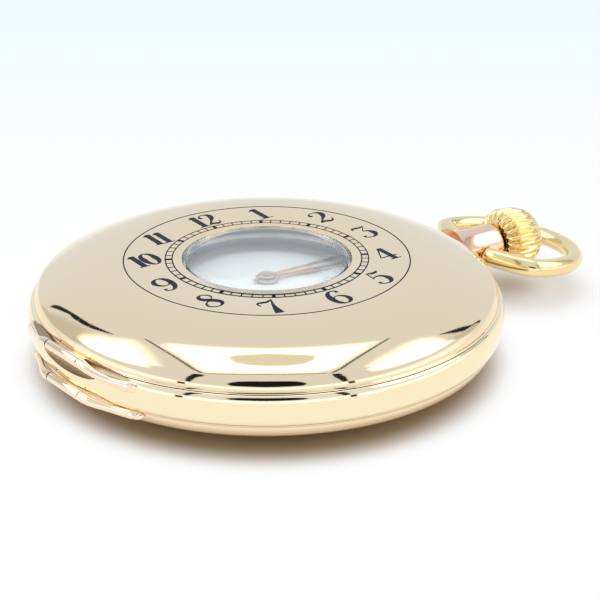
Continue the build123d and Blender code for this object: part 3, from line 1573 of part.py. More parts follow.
# Motion work under the dial
minute_line = minute_wheel_angle
cannon_phase = 0.0
minute_wheel_phase = mesh_phase(cannon_phase, cannon_teeth, minute_wheel_teeth, minute_line)
minute_pinion_phase = 0.0
hour_wheel_phase = mesh_phase(minute_pinion_phase, minute_pinion_teeth, hour_wheel_teeth, minute_line + pi)
with BuildPart() as cannon_pinion:
    toothed_disc(
        (0, 0),
        cannon_bottom,
        hour_wheel_z - cannon_bottom - 2 * running,
        cannon_teeth,
        cannon_module,
        cannon_phase,
        pinion_tip_share,
        pinion_root_share,
    )
    arbor((0, 0), [(cannon_bottom, hand_post_top - hand_thickness / 2, cannon_pipe_radius)])
    round_hole((0, 0), cannon_bottom - overrun, hand_post_top + overrun, centre_arbor_radius + seat_gap)
save(cannon_pinion, "cannon_pinion")

with BuildPart() as minute_wheel:
    toothed_disc(
        minute_wheel_place,
        motion_wheel_z,
        motion_thickness,
        minute_wheel_teeth,
        cannon_module,
        minute_wheel_phase,
    )
    toothed_disc(
        minute_wheel_place,
        motion_wheel_z,
        hour_wheel_z + motion_thickness + running - motion_wheel_z,
        minute_pinion_teeth,
        minute_pinion_module,
        minute_pinion_phase,
        pinion_tip_share,
        pinion_root_share,
    )
    round_hole(minute_wheel_place, plate_top, dial_bottom, minute_stud_radius + running)
save(minute_wheel, "minute_wheel")

with BuildPart() as hour_wheel:
    toothed_disc(
        (0, 0), hour_wheel_z, motion_thickness, hour_wheel_teeth, minute_pinion_module, hour_wheel_phase
    )
    arbor((0, 0), [(hour_wheel_z, hour_hand_z + hand_thickness, hour_pipe_radius)])
    round_hole((0, 0), hour_wheel_z - overrun, hour_hand_z + overrun, cannon_pipe_radius + running)
save(hour_wheel, "hour_wheel")

# Dial and hands, set to a quarter past three
dial_hole_play = 0.12
with BuildPart() as dial:
    with BuildSketch(Plane.XY.offset(dial_bottom)):
        Circle(dial_radius)
        Circle(hour_pipe_radius + dial_hole_play, mode=Mode.SUBTRACT)
        with Locations(fourth_place):
            Circle(pivot_radius + dial_hole_play, mode=Mode.SUBTRACT)
    extrude(amount=dial_thickness)
save(dial, "dial")


# Blade of a hand, as shares of its length and its width, and the tail's width as a share of the blade's
blade_shares = [(0.0, 0.35), (0.3, 0.28), (0.52, 0.5), (0.7, 0.3), (1.0, 0.06)]
tail_share = 0.25


def hand_outline(plane, length, width, boss, tail, bore):
    """Hand with a round boss, a leaf blade, a needle tip and a short tail, pointing along the plane's X."""
    upper = [(-tail, width * tail_share)] + [(length * along, width * wide) for along, wide in blade_shares]
    lower = [(along, -wide) for along, wide in reversed(upper)]
    with BuildSketch(plane) as section:
        with BuildLine():
            Polyline(*upper, *lower, close=True)
        make_face()
        Circle(boss)
        Circle(bore, mode=Mode.SUBTRACT)
    extrude(section.sketch, amount=hand_thickness)


hour_hand_angle = radians(-7.5)
hour_hand_length, hour_hand_width, hour_boss_radius, hour_hand_tail = 9.2, 1.5, 1.25, 0.9
minute_hand_length, minute_hand_width, minute_boss_radius, minute_hand_tail = 14.2, 1.1, 0.95, 0.8
seconds_hand_length, seconds_hand_width, seconds_boss_radius, seconds_hand_tail = 3.0, 0.3, 0.4, 1.1
with BuildPart() as hour_hand:
    hour_plane = Plane(
        (0, 0, hour_hand_z), x_dir=(cos(hour_hand_angle), sin(hour_hand_angle), 0), z_dir=(0, 0, 1)
    )
    hand_outline(
        hour_plane,
        hour_hand_length,
        hour_hand_width,
        hour_boss_radius,
        hour_hand_tail,
        hour_pipe_radius + seat_gap,
    )
save(hour_hand, "hour_hand")

with BuildPart() as minute_hand:
    hand_outline(
        Plane((0, 0, minute_hand_z)),
        minute_hand_length,
        minute_hand_width,
        minute_boss_radius,
        minute_hand_tail,
        cannon_pipe_radius + seat_gap,
    )
save(minute_hand, "minute_hand")

with BuildPart() as seconds_hand:
    seconds_plane = Plane(
        (fourth_place[0], fourth_place[1], seconds_hand_z), x_dir=(0, -1, 0), z_dir=(0, 0, 1)
    )
    hand_outline(
        seconds_plane,
        seconds_hand_length,
        seconds_hand_width,
        seconds_boss_radius,
        seconds_hand_tail,
        pivot_radius + seat_gap,
    )
save(seconds_hand, "seconds_hand")
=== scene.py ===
import bpy
import json
import math
from mathutils import Matrix, Vector


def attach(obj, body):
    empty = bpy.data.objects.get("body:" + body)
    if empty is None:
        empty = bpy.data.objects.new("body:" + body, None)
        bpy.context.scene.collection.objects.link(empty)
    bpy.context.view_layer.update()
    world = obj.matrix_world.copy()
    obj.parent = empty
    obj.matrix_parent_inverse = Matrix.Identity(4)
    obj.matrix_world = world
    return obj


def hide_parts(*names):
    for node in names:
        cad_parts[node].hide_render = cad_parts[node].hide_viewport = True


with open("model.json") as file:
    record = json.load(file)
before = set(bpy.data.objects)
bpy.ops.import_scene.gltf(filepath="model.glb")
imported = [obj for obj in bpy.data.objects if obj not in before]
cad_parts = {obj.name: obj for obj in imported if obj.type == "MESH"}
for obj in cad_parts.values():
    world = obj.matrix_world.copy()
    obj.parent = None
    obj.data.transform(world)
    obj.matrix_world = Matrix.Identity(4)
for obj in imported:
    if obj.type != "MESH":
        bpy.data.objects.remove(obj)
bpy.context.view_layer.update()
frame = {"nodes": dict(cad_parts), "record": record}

mm = 0.001


# everyday helpers

def deselectAll():
    if bpy.context.object and bpy.context.object.mode != "OBJECT":
        bpy.ops.object.mode_set(mode="OBJECT")
    bpy.ops.object.select_all(action="DESELECT")


def focusOn(piece):
    deselectAll()
    piece.select_set(True)
    bpy.context.view_layer.objects.active = piece


def settle(piece):
    focusOn(piece)
    bpy.ops.object.transform_apply(location=True, rotation=True, scale=True)


def editMode():
    bpy.ops.object.mode_set(mode="EDIT")


def objectMode():
    bpy.ops.object.mode_set(mode="OBJECT")


def rename(piece, name):
    piece.name = name
    piece.data.name = name
    return piece


def tidyMesh(piece, smoothAngle=30, weld=0.000001):
    focusOn(piece)
    editMode()
    bpy.ops.mesh.select_all(action="SELECT")
    bpy.ops.mesh.remove_doubles(threshold=weld)
    bpy.ops.mesh.normals_make_consistent(inside=False)
    objectMode()
    bpy.ops.object.shade_smooth_by_angle(angle=math.radians(smoothAngle))
    return piece


def applyModifiers(piece):
    focusOn(piece)
    for modifier in list(piece.modifiers):
        bpy.ops.object.modifier_apply(modifier=modifier.name)


def softenEdges(piece, width, angle=30, segments=2):
    bevel = piece.modifiers.new("softEdges", "BEVEL")
    bevel.width = width * mm
    bevel.segments = segments
    bevel.limit_method = "ANGLE"
    bevel.angle_limit = math.radians(angle)
    applyModifiers(piece)
    bpy.ops.object.shade_smooth_by_angle(angle=math.radians(angle + 15))
    return piece


def joinPieces(pieces, name):
    deselectAll()
    for piece in pieces:
        piece.select_set(True)
    bpy.context.view_layer.objects.active = pieces[0]
    if len(pieces) > 1:
        bpy.ops.object.join()
    return rename(bpy.context.view_layer.objects.active, name)


def ribbonCurve(name):
    # a flat ribbon, half as wide as the radius of its points says
    curve = bpy.data.curves.new(name, "CURVE")
    curve.dimensions = "3D"
    curve.twist_mode = "Z_UP"
    curve.extrude = 1.0
    return curve


def curveToMesh(name, curve):
    drawn = bpy.data.objects.new(name, curve)
    bpy.context.collection.objects.link(drawn)
    focusOn(drawn)
    bpy.ops.object.convert(target="MESH")
    return rename(bpy.context.object, name)


def thicken(piece, thickness):
    solid = piece.modifiers.new("thickness", "SOLIDIFY")
    solid.thickness = thickness * mm
    solid.offset = 0
    applyModifiers(piece)
    return piece


def cutAway(piece, cutters):
    # takes the cutters' volumes out of the piece, then removes the cutters
    for cutter in cutters:
        boolean = piece.modifiers.new("cut", "BOOLEAN")
        boolean.operation = "DIFFERENCE"
        boolean.solver = "EXACT"
        boolean.object = cutter
        if cutter.data.materials:
            boolean.material_mode = "TRANSFER"
        applyModifiers(piece)
    for cutter in cutters:
        bpy.data.objects.remove(cutter)
    focusOn(piece)
    bpy.ops.object.shade_smooth_by_angle(angle=math.radians(30))
    return piece


def arcPoints(centre, radius, startDeg, endDeg, steps):
    points = []
    for index in range(steps + 1):
        angle = math.radians(startDeg + (endDeg - startDeg) * index / steps)
        points.append((centre[0] + radius * math.cos(angle), centre[1] + radius * math.sin(angle)))
    return points


def followSlopes(start, legs):
    # goes outward and down from a point; every leg turns evenly from one slope to the next
    radius, height = start
    points = []
    for startSlope, endSlope, length, steps in legs:
        for index in range(steps):
            slope = math.radians(startSlope + (endSlope - startSlope) * (index + 0.5) / steps)
            radius += length / steps * math.cos(slope)
            height -= length / steps * math.sin(slope)
            points.append((radius, height))
    return points


def boxedRing(inner, outer, low, high):
    return [(inner, low), (outer, low), (outer, high), (inner, high)]


def turnOnLathe(name, profile, segments=192, closed=True, smoothAngle=30, centre=(0, 0)):
    # a ring of edges at the first point, drawn along the profile by extruding and resizing it
    deselectAll()
    radius, height = profile[0]
    bpy.ops.mesh.primitive_circle_add(
        vertices=segments, radius=radius * mm, fill_type="NOTHING",
        location=(centre[0] * mm, centre[1] * mm, height * mm))
    piece = rename(bpy.context.object, name)
    settle(piece)
    editMode()
    bpy.ops.mesh.select_all(action="SELECT")
    rows = profile[1:] + ([profile[0]] if closed else [])
    for nextRadius, nextHeight in rows:
        bpy.ops.mesh.extrude_edges_move(
            TRANSFORM_OT_translate={"value": (0, 0, (nextHeight - height) * mm)})
        pivot = (centre[0] * mm, centre[1] * mm, nextHeight * mm)
        share = nextRadius / radius
        bpy.ops.transform.resize(value=(share, share, 1), center_override=pivot)
        radius, height = nextRadius, nextHeight
    objectMode()
    return tidyMesh(piece, smoothAngle)


def closePoles(piece, smoothAngle=30):
    focusOn(piece)
    editMode()
    bpy.ops.mesh.select_all(action="DESELECT")
    bpy.ops.mesh.select_non_manifold()
    bpy.ops.mesh.fill_holes(sides=0)
    objectMode()
    return tidyMesh(piece, smoothAngle)


def turnWithPoles(name, profile, segments=192, smoothAngle=30, centre=(0, 0)):
    # both ends of the profile lie near the axis and are closed with a small flat disc
    return closePoles(turnOnLathe(name, profile, segments, False, smoothAngle, centre), smoothAngle)


def addDrum(radius, length, place=(0, 0, 0), sides=48):
    # round bar along Z with its middle at the place
    deselectAll()
    bpy.ops.mesh.primitive_cylinder_add(
        vertices=sides, radius=radius * mm, depth=length * mm, location=[value * mm for value in place])
    piece = bpy.context.object
    settle(piece)
    return piece


def addBlock(low, high):
    # block between two corners
    deselectAll()
    middle = [(a + b) / 2 * mm for a, b in zip(low, high)]
    bpy.ops.mesh.primitive_cube_add(size=1, location=middle)
    piece = bpy.context.object
    piece.scale = [(b - a) * mm for a, b in zip(low, high)]
    settle(piece)
    return piece


def addSector(inner, outer, startDeg, endDeg, low, high):
    # block that follows the rim between two angles: one face, spun round the middle of the watch
    deselectAll()
    bpy.ops.mesh.primitive_plane_add(size=1, rotation=(math.pi / 2, 0, 0))
    piece = bpy.context.object
    piece.scale = ((outer - inner) * mm, (high - low) * mm, 1)
    piece.location = ((outer + inner) / 2 * mm, 0, (low + high) / 2 * mm)
    settle(piece)
    piece.rotation_euler = (0, 0, math.radians(startDeg))
    settle(piece)
    editMode()
    bpy.ops.mesh.select_all(action="SELECT")
    bpy.ops.mesh.spin(steps=20, angle=-math.radians(endDeg - startDeg), center=(0, 0, 0), axis=(0, 0, 1))
    objectMode()
    return tidyMesh(piece)


def turnEachWay(piece, count, middle=(0, 0)):
    # copies of the whole mesh, evenly round an upright axis
    focusOn(piece)
    editMode()
    bpy.ops.mesh.select_all(action="SELECT")
    bpy.ops.mesh.spin(
        steps=count, dupli=True, angle=2 * math.pi, center=(middle[0] * mm, middle[1] * mm, 0), axis=(0, 0, 1))
    objectMode()
    return tidyMesh(piece)


# materials

def newGroup(name, inputs, outputs):
    group = bpy.data.node_groups.new(name, "ShaderNodeTree")
    for title, value in inputs.items():
        socket = group.interface.new_socket(title, in_out="INPUT", socket_type="NodeSocketFloat")
        socket.default_value = value
    for title, kind in outputs.items():
        group.interface.new_socket(title, in_out="OUTPUT", socket_type=kind)
    return group, group.nodes.new("NodeGroupInput"), group.nodes.new("NodeGroupOutput")


def addMath(nodes, operation, second=None):
    node = nodes.new("ShaderNodeMath")
    node.operation = operation
    if second is not None:
        node.inputs[1].default_value = second
    return node


def fadeBetween(nodes, low, high):
    # climbs smoothly from none at the low value to full at the high one
    fade = nodes.new("ShaderNodeMapRange")
    fade.interpolation_type = "SMOOTHSTEP"
    fade.inputs["From Min"].default_value = low
    fade.inputs["From Max"].default_value = high
    return fade


def blendColours(nodes, first, second):
    blend = nodes.new("ShaderNodeMix")
    blend.data_type = "RGBA"
    blend.inputs["A"].default_value = (*first, 1)
    blend.inputs["B"].default_value = (*second, 1)
    return blend


def buildPolishGroup():
    # wear of a polished surface: cloudy roughness, hair-fine scratches and a trace of unevenness
    group, start, end = newGroup(
        "polishedWear",
        {"Roughness": 0.1, "Cloud Scale": 180.0, "Cloud Amount": 0.03, "Scratch Amount": 0.05,
         "Ripple Scale": 300.0, "Ripple Depth": 0.00001},
        {"Roughness": "NodeSocketFloat", "Normal": "NodeSocketVector"})
    nodes, links = group.nodes, group.links
    place = nodes.new("ShaderNodeTexCoord")
    cloud = nodes.new("ShaderNodeTexNoise")
    cloud.inputs["Detail"].default_value = 4
    links.new(place.outputs["Object"], cloud.inputs["Vector"])
    links.new(start.outputs["Cloud Scale"], cloud.inputs["Scale"])
    centred = addMath(nodes, "SUBTRACT", 0.5)
    links.new(cloud.outputs["Fac"], centred.inputs[0])
    scaled = addMath(nodes, "MULTIPLY_ADD")
    links.new(centred.outputs[0], scaled.inputs[0])
    links.new(start.outputs["Cloud Amount"], scaled.inputs[1])
    links.new(start.outputs["Roughness"], scaled.inputs[2])
    # long thin noise, kept only at its crests, reads as fine scratches in two directions
    total = scaled
    for turn in (0.4, 1.9):
        aim = nodes.new("ShaderNodeMapping")
        aim.inputs["Rotation"].default_value = (0, 0, turn)
        aim.inputs["Scale"].default_value = (90, 2600, 600)
        links.new(place.outputs["Object"], aim.inputs["Vector"])
        grain = nodes.new("ShaderNodeTexNoise")
        grain.inputs["Scale"].default_value = 1.0
        grain.inputs["Detail"].default_value = 2
        links.new(aim.outputs["Vector"], grain.inputs["Vector"])
        crest = nodes.new("ShaderNodeMapRange")
        crest.inputs["From Min"].default_value = 0.66
        crest.inputs["From Max"].default_value = 0.74
        links.new(grain.outputs["Fac"], crest.inputs["Value"])
        added = addMath(nodes, "MULTIPLY_ADD")
        links.new(crest.outputs["Result"], added.inputs[0])
        links.new(start.outputs["Scratch Amount"], added.inputs[1])
        links.new(total.outputs[0], added.inputs[2])
        total = added
    ripple = nodes.new("ShaderNodeTexNoise")
    ripple.inputs["Detail"].default_value = 2
    links.new(place.outputs["Object"], ripple.inputs["Vector"])
    links.new(start.outputs["Ripple Scale"], ripple.inputs["Scale"])
    bump = nodes.new("ShaderNodeBump")
    bump.inputs["Strength"].default_value = 1.0
    links.new(start.outputs["Ripple Depth"], bump.inputs["Distance"])
    links.new(ripple.outputs["Fac"], bump.inputs["Height"])
    links.new(total.outputs[0], end.inputs["Roughness"])
    links.new(bump.outputs["Normal"], end.inputs["Normal"])
    return group


polishGroup = buildPolishGroup()


def polishedFinish(name, colour, roughness, cloudAmount=0.03, scratches=0.03, rippleDepth=0.0000004,
                   metallic=1.0):
    material = bpy.data.materials.new(name)
    material.use_nodes = True
    nodes, links = material.node_tree.nodes, material.node_tree.links
    shader = nodes["Principled BSDF"]
    shader.inputs["Base Color"].default_value = (*colour, 1)
    shader.inputs["Metallic"].default_value = metallic
    wear = nodes.new("ShaderNodeGroup")
    wear.node_tree = polishGroup
    wear.inputs["Roughness"].default_value = roughness
    wear.inputs["Cloud Amount"].default_value = cloudAmount
    wear.inputs["Scratch Amount"].default_value = scratches
    wear.inputs["Ripple Depth"].default_value = rippleDepth
    links.new(wear.outputs["Roughness"], shader.inputs["Roughness"])
    links.new(wear.outputs["Normal"], shader.inputs["Normal"])
    return material


finishes = {
    "lidGold": polishedFinish("lidGold", (0.95, 0.75, 0.50), 0.05),
    # painted light: the band's gold is a lighter, yellower copy of the lid's, brighter where the band mirrors
    # the floor
    "bandLitGold": polishedFinish("bandLitGold", (0.98, 0.84, 0.57), 0.06),
    # darker, rougher gold for the cut faces of the hollows at the hinges: painted shade in the recesses
    "shadedHollowGold": polishedFinish("shadedHollowGold", (0.46, 0.36, 0.25), 0.34, cloudAmount=0.08),
    "hingeGold": polishedFinish("hingeGold", (0.98, 0.79, 0.60), 0.1),
    "roseGold": polishedFinish("roseGold", (0.93, 0.63, 0.47), 0.2),
    "crownGold": polishedFinish("crownGold", (0.94, 0.74, 0.38), 0.16),
    "handGold": polishedFinish("handGold", (0.80, 0.52, 0.30), 0.2),
    "innerGold": polishedFinish("innerGold", (0.88, 0.70, 0.44), 0.16, cloudAmount=0.1),
    "nickelPlate": polishedFinish("nickelPlate", (0.70, 0.68, 0.63), 0.28, cloudAmount=0.1),
    "gearBrass": polishedFinish("gearBrass", (0.74, 0.55, 0.24), 0.25, cloudAmount=0.08),
    "groundSteel": polishedFinish("groundSteel", (0.55, 0.56, 0.58), 0.25, cloudAmount=0.08),
    "bluedSteel": polishedFinish("bluedSteel", (0.03, 0.06, 0.28), 0.2, cloudAmount=0.06),
    "ringEnamel": polishedFinish("ringEnamel", (0.007, 0.008, 0.02), 0.45, metallic=0.0),
    "dialEnamel": polishedFinish("dialEnamel", (0.985, 0.985, 0.965), 0.12, scratches=0.0, metallic=0.0),
    "dialInk": polishedFinish("dialInk", (0.02, 0.02, 0.025), 0.35, metallic=0.0),
}


def clearGlass(name, tint, ior, roughness):
    material = polishedFinish(name, tint, roughness, 0.004, scratches=0.0, rippleDepth=0.0, metallic=0.0)
    shader = material.node_tree.nodes["Principled BSDF"]
    shader.inputs["Transmission Weight"].default_value = 1.0
    shader.inputs["IOR"].default_value = ior
    # light passes straight through to what lies beneath
    nodes, links = material.node_tree.nodes, material.node_tree.links
    path = nodes.new("ShaderNodeLightPath")
    passing = addMath(nodes, "MAXIMUM")
    links.new(path.outputs["Is Shadow Ray"], passing.inputs[0])
    links.new(path.outputs["Is Diffuse Ray"], passing.inputs[1])
    clear = nodes.new("ShaderNodeBsdfTransparent")
    clear.inputs["Color"].default_value = (*tint, 1)
    choose = nodes.new("ShaderNodeMixShader")
    links.new(passing.outputs[0], choose.inputs[0])
    links.new(shader.outputs[0], choose.inputs[1])
    links.new(clear.outputs[0], choose.inputs[2])
    links.new(choose.outputs[0], nodes["Material Output"].inputs["Surface"])
    return material


for printed in ("ringEnamel", "dialInk"):
    finishes[printed].node_tree.nodes["Principled BSDF"].inputs["Specular IOR Level"].default_value = 0.15
finishes["crystal"] = clearGlass("crystal", (0.99, 0.997, 0.993), 1.49, 0.05)
finishes["ruby"] = clearGlass("ruby", (0.75, 0.05, 0.12), 1.76, 0.05)
print("materials ready")


def paint(piece, finish):
    piece.data.materials.clear()
    piece.data.materials.append(finishes[finish])
    return piece


def finishPiece(piece, finish, body, slot, *replaced):
    # a piece with more than one finish has been painted already
    if finish:
        paint(piece, finish)
    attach(piece, body)
    if replaced:
        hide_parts(*replaced)
    return piece


case = {
    "radius": 25.0, "jointRadius": 24.46, "backJoint": 3.85, "bandHeight": 3.15, "lidHeight": 3.85,
    "lidWall": 0.5, "flatRadius": 14.94, "flatLead": 0.6, "shoulderRadius": 17.2, "shoulderSlope": 30.0,
    "windowRadius": 8.84, "windowEdge": 0.06, "closedStart": 0.3, "closedRows": (4.0, 9.0),
    "gap": 0.04, "lipWidths": (0.05, 0.45), "segments": 256,
    # slopes of the rim below the shoulder, then of the small bead at the joint: from, to, length, steps
    "rimLegs": [(30, 61, 0.49, 8), (61, 69, 0.54, 5), (69, 77, 0.26, 4), (77, 88, 0.16, 3)],
    "beadLegs": [(10, 55, 0.13, 5), (55, 61, 0.02, 1), (61, 69, 0.12, 3), (69, 86, 0.05, 2)],
}
frontJoint = case["backJoint"] + case["bandHeight"]
lidTop = frontJoint + case["lidHeight"]
stemHeight = case["backJoint"] + case["bandHeight"] / 2

# the hinges stand a little past nine, one at each lid
hinge = {
    "angle": 184.3, "reach": 25.0, "knuckle": 0.5, "pin": 0.2, "pinHalf": 4.2, "pinBore": 0.22, "boreHalf": 3,
    "middleHalf": 2.65, "outerStart": 2.75, "outerEnd": 5.4, "frontHeight": 7.12, "backHeight": 3.56,
    "play": 0.07, "endPlay": 0.05, "fingerPlay": 0.06, "backNotch": 0.62,
}
hingeTurn = math.radians(hinge["angle"])
hingeOut = Vector((math.cos(hingeTurn), math.sin(hingeTurn), 0))
hingeAlong = Vector((-math.sin(hingeTurn), math.cos(hingeTurn), 0))


def layOnHinge(piece, height, shift=0.0):
    # takes a piece made along Z to the hinge's axis
    across = hingeAlong.cross(hingeOut)
    turn = Matrix((hingeOut, across, hingeAlong)).transposed().to_4x4()
    spot = hingeOut * hinge["reach"] * mm + hingeAlong * shift * mm + Vector((0, 0, height * mm))
    piece.matrix_world = Matrix.Translation(spot) @ turn
    settle(piece)
    return piece


def layAlongStem(piece):
    # takes a piece made along Z to the axis of the stem
    piece.rotation_euler = (0, math.pi / 2, 0)
    piece.location = (0, 0, stemHeight * mm)
    settle(piece)
    return piece


def hingeBar(radius, start, end, height, sides=40):
    return layOnHinge(addDrum(radius, end - start, sides=sides), height, (start + end) / 2)


def outerNotches(height):
    # room in the other part for the thick ends of the two fingers
    radius = hinge["knuckle"] + hinge["play"]
    start, end = hinge["outerStart"] - hinge["endPlay"], hinge["outerEnd"] + hinge["fingerPlay"]
    return [hingeBar(radius, start, end, height), hingeBar(radius, -end, -start, height)]


def middleNotch(height, radius):
    half = hinge["middleHalf"] + hinge["endPlay"]
    return [hingeBar(radius, -half, half, height)]


def middleKnuckle(height):
    half = hinge["middleHalf"]
    return paint(softenEdges(hingeBar(hinge["knuckle"], -half, half, height), 0.06), "hingeGold")


# long tapers over the fingers: distance from the middle, along the hinge, height and radius at both ends
hollow = {"start": (24.85, 2.7, 7.22, 0.72), "end": (23.2, 8.9, 7.04, 0.28)}


def rimHollows():
    # one to each side, taken out of the edges of lid and band; their cut faces take a darker gold, painted
    # shade
    startOut, startAlong, startHeight, startRadius = hollow["start"]
    endOut, endAlong, endHeight, endRadius = hollow["end"]
    tapers = []
    for way in (1, -1):
        start = hingeOut * startOut + hingeAlong * (startAlong * way) + Vector((0, 0, startHeight))
        end = hingeOut * endOut + hingeAlong * (endAlong * way) + Vector((0, 0, endHeight))
        deselectAll()
        bpy.ops.mesh.primitive_cone_add(
            vertices=48, radius1=startRadius * mm, radius2=endRadius * mm, depth=(end - start).length * mm,
            location=(start + end) / 2 * mm, rotation=(end - start).to_track_quat("Z", "Y").to_euler())
        taper = bpy.context.object
        settle(taper)
        tapers.append(paint(taper, "shadedHollowGold"))
    return tapers


def lidOutline(innerRadius):
    # radius and height above the joint, from the middle of the top round to the underside
    top, wall = case["lidHeight"], case["lidWall"]
    flat, big = case["flatRadius"], case["shoulderRadius"]
    slope = case["shoulderSlope"]
    if innerRadius == case["windowRadius"]:
        edge = case["windowEdge"]
        points = [
            (innerRadius, top - edge), (innerRadius + edge * 0.3, top - edge * 0.3), (innerRadius + edge, top)]
    else:
        points = [(radius, top) for radius in (innerRadius, *case["closedRows"])]
    points += [(flat - case["flatLead"], top)]
    points += arcPoints((flat, top - big), big, 90, 90 - slope, 28)
    points += followSlopes(points[-1], case["rimLegs"] + case["beadLegs"])
    lipRadius = points[-1][0]
    points += [(lipRadius - width, case["gap"]) for width in case["lipWidths"]]
    points += arcPoints((flat, top - big), big - wall, 90 - slope, 90, 16)
    points += [(innerRadius, top - wall)]
    return points


def lidPoints(base, way, innerRadius):
    return [(radius, base + way * height) for radius, height in lidOutline(innerRadius)]


# lip under the rim that the catch holds
lip = {"inner": 23.5, "outer": 24.25, "half": 1.1, "low": 7.1, "high": 7.38, "softness": 0.05}


def buildFrontLid():
    height = hinge["frontHeight"]
    profile = lidPoints(frontJoint, 1, case["windowRadius"])
    lid = paint(turnOnLathe("frontLid", profile, case["segments"]), "lidGold")
    cutAway(lid, outerNotches(height) + rimHollows())
    catchLip = addBlock((lip["inner"], -lip["half"], lip["low"]), (lip["outer"], lip["half"], lip["high"]))
    paint(softenEdges(catchLip, lip["softness"]), "lidGold")
    knuckle = middleKnuckle(height)
    cutAway(knuckle, [hingeBar(hinge["pinBore"], -hinge["boreHalf"], hinge["boreHalf"], height, 24)])
    lid = joinPieces([lid, catchLip, knuckle], "frontLid")
    return finishPiece(lid, None, "front_lid", "case_gold", "front_lid")


buildFrontLid()
print("front lid ready")


# rows of a finger while it is still straight: place along the hinge and half depth, then for each hinge the
# distance from the middle of the watch, bottom and top; a small raised oval sits on one of the last rows
fingerShape = {
    "along": [2.75, 3.4, 4.2, 5.0, 5.75, 6.6, 7.6, 8.5, 9.15, 9.5, 9.65],
    "depth": [0.5, 0.5, 0.44, 0.4, 0.35, 0.33, 0.33, 0.33, 0.3, 0.22, 0.08],
    "frontReach": [25.15, 25.23, 25.27, 25.2, 25.06, 24.94, 24.88, 24.84, 24.8, 24.76, 24.7],
    "frontLow": [6.62, 6.62, 6.5, 6.36, 6.22, 6.02, 5.82, 5.76, 5.84, 6.02, 6.25],
    "frontHigh": [7.62, 7.62, 7.4, 7.12, 6.93, 6.8, 6.8, 6.85, 6.84, 6.74, 6.5],
    "backReach": [25.15, 25.23, 25.18, 25.0, 24.8, 24.62, 24.52, 24.46, 24.42, 24.4, 24.38],
    "backLow": [3.06, 3.06, 3.03, 2.98, 2.92, 2.84, 2.78, 2.76, 2.84, 2.98, 3.14],
    "backHigh": [4.06, 4.06, 3.92, 3.8, 3.72, 3.68, 3.7, 3.72, 3.68, 3.56, 3.4],
    "ovalRow": 7, "ovalHalves": (0.15, 0.6, 0.3), "ovalTilt": 12, "ovalSink": 0.04,
}


def buildFinger(name, side, way):
    deselectAll()
    rows = list(zip(
        fingerShape["along"], fingerShape[side + "Reach"], fingerShape["depth"], fingerShape[side + "Low"],
        fingerShape[side + "High"]))
    along, reach, depth, bottom, top = rows[0]
    bpy.ops.mesh.primitive_circle_add(vertices=32, radius=1, fill_type="NGON", rotation=(0, math.pi / 2, 0))
    finger = rename(bpy.context.object, name)
    settle(finger)
    finger.scale = (1, depth * mm, (top - bottom) / 2 * mm)
    finger.location = (along * mm, reach * mm, (top + bottom) / 2 * mm)
    settle(finger)
    editMode()
    bpy.ops.mesh.select_all(action="SELECT")
    for nextAlong, nextReach, nextDepth, nextBottom, nextTop in rows[1:]:
        middle, nextMiddle = (bottom + top) / 2, (nextBottom + nextTop) / 2
        step = ((nextAlong - along) * mm, (nextReach - reach) * mm, (nextMiddle - middle) * mm)
        bpy.ops.mesh.extrude_region_move(TRANSFORM_OT_translate={"value": step})
        share = (1, nextDepth / depth, (nextTop - nextBottom) / (top - bottom))
        bpy.ops.transform.resize(
            value=share, center_override=(nextAlong * mm, nextReach * mm, nextMiddle * mm))
        along, reach, depth, bottom, top = nextAlong, nextReach, nextDepth, nextBottom, nextTop
    objectMode()
    # wrapped round the case
    for corner in finger.data.vertices:
        turn = hingeTurn + way * math.asin(corner.co.x / corner.co.y)
        corner.co = (corner.co.y * math.cos(turn), corner.co.y * math.sin(turn), corner.co.z)
    return tidyMesh(finger, 50)


def buildFingers(name, side, body, slot):
    row = fingerShape["ovalRow"]
    low, high, reach = (fingerShape[side + part][row] for part in ("Low", "High", "Reach"))
    outside = reach + fingerShape["depth"][row] - fingerShape["ovalSink"]
    pieces = []
    for way in (-1, 1):
        deselectAll()
        bpy.ops.mesh.primitive_uv_sphere_add(segments=32, ring_count=16, radius=mm)
        oval = bpy.context.object
        turn = hingeTurn + way * math.asin(fingerShape["along"][row] / reach)
        oval.scale = fingerShape["ovalHalves"]
        oval.rotation_euler = (way * math.radians(fingerShape["ovalTilt"]), 0, turn)
        place = (outside * math.cos(turn), outside * math.sin(turn), (low + high) / 2)
        oval.location = [value * mm for value in place]
        settle(oval)
        pieces += [buildFinger(name, side, way), tidyMesh(oval, 60)]
    return finishPiece(joinPieces(pieces, name), "hingeGold", body, slot)


def buildBackLid():
    profile = lidPoints(case["backJoint"], -1, case["closedStart"])
    lid = turnWithPoles("backLid", profile, case["segments"])
    cutAway(lid, middleNotch(hinge["backHeight"], hinge["backNotch"]))
    return finishPiece(lid, "lidGold", "back_lid", "case_gold", "back_lid")


buildBackLid()
buildFingers("frontFingers", "front", "case", "case_gold")
buildFingers("backFingers", "back", "back_lid", "case_gold")
for side in ("front", "back"):
    hingePin = hingeBar(hinge["pin"], -hinge["pinHalf"], hinge["pinHalf"], hinge[side + "Height"], 32)
    softenEdges(rename(hingePin, side + "Pin"), 0.03)
    finishPiece(hingePin, "crownGold", "case", "yellow_gold", side + "_hinge_pin")
print("back lid and fingers ready")

band = {
    "rimLegs": [(20, 61, 0.22, 6), (61, 69, 0.28, 3), (69, 77.5, 0.28, 3), (77.5, 90, 0.82, 7)],
    "landWidth": 0.1, "middleGap": 0.02, "collarOuter": 22.6, "collarInner": 22.1, "collarRise": 0.6,
    "shelf": 5.9, "bore": 21.2, "catchTop": 0.5,
    "slotInner": 22.64, "slotOuter": 23.445, "slotHalf": 1.4, "slotFloor": 4.1, "grooveFloor": 6.2,
    "grooves": [(2, 30), (148, 178)], "stemWay": 1.45, "stemWayLength": 6, "stemWayMiddle": 24.0,
    "scoopHalves": (1.08, 1.2, 6.6), "scoopHeight": 6.55, "notch": 0.57,
}


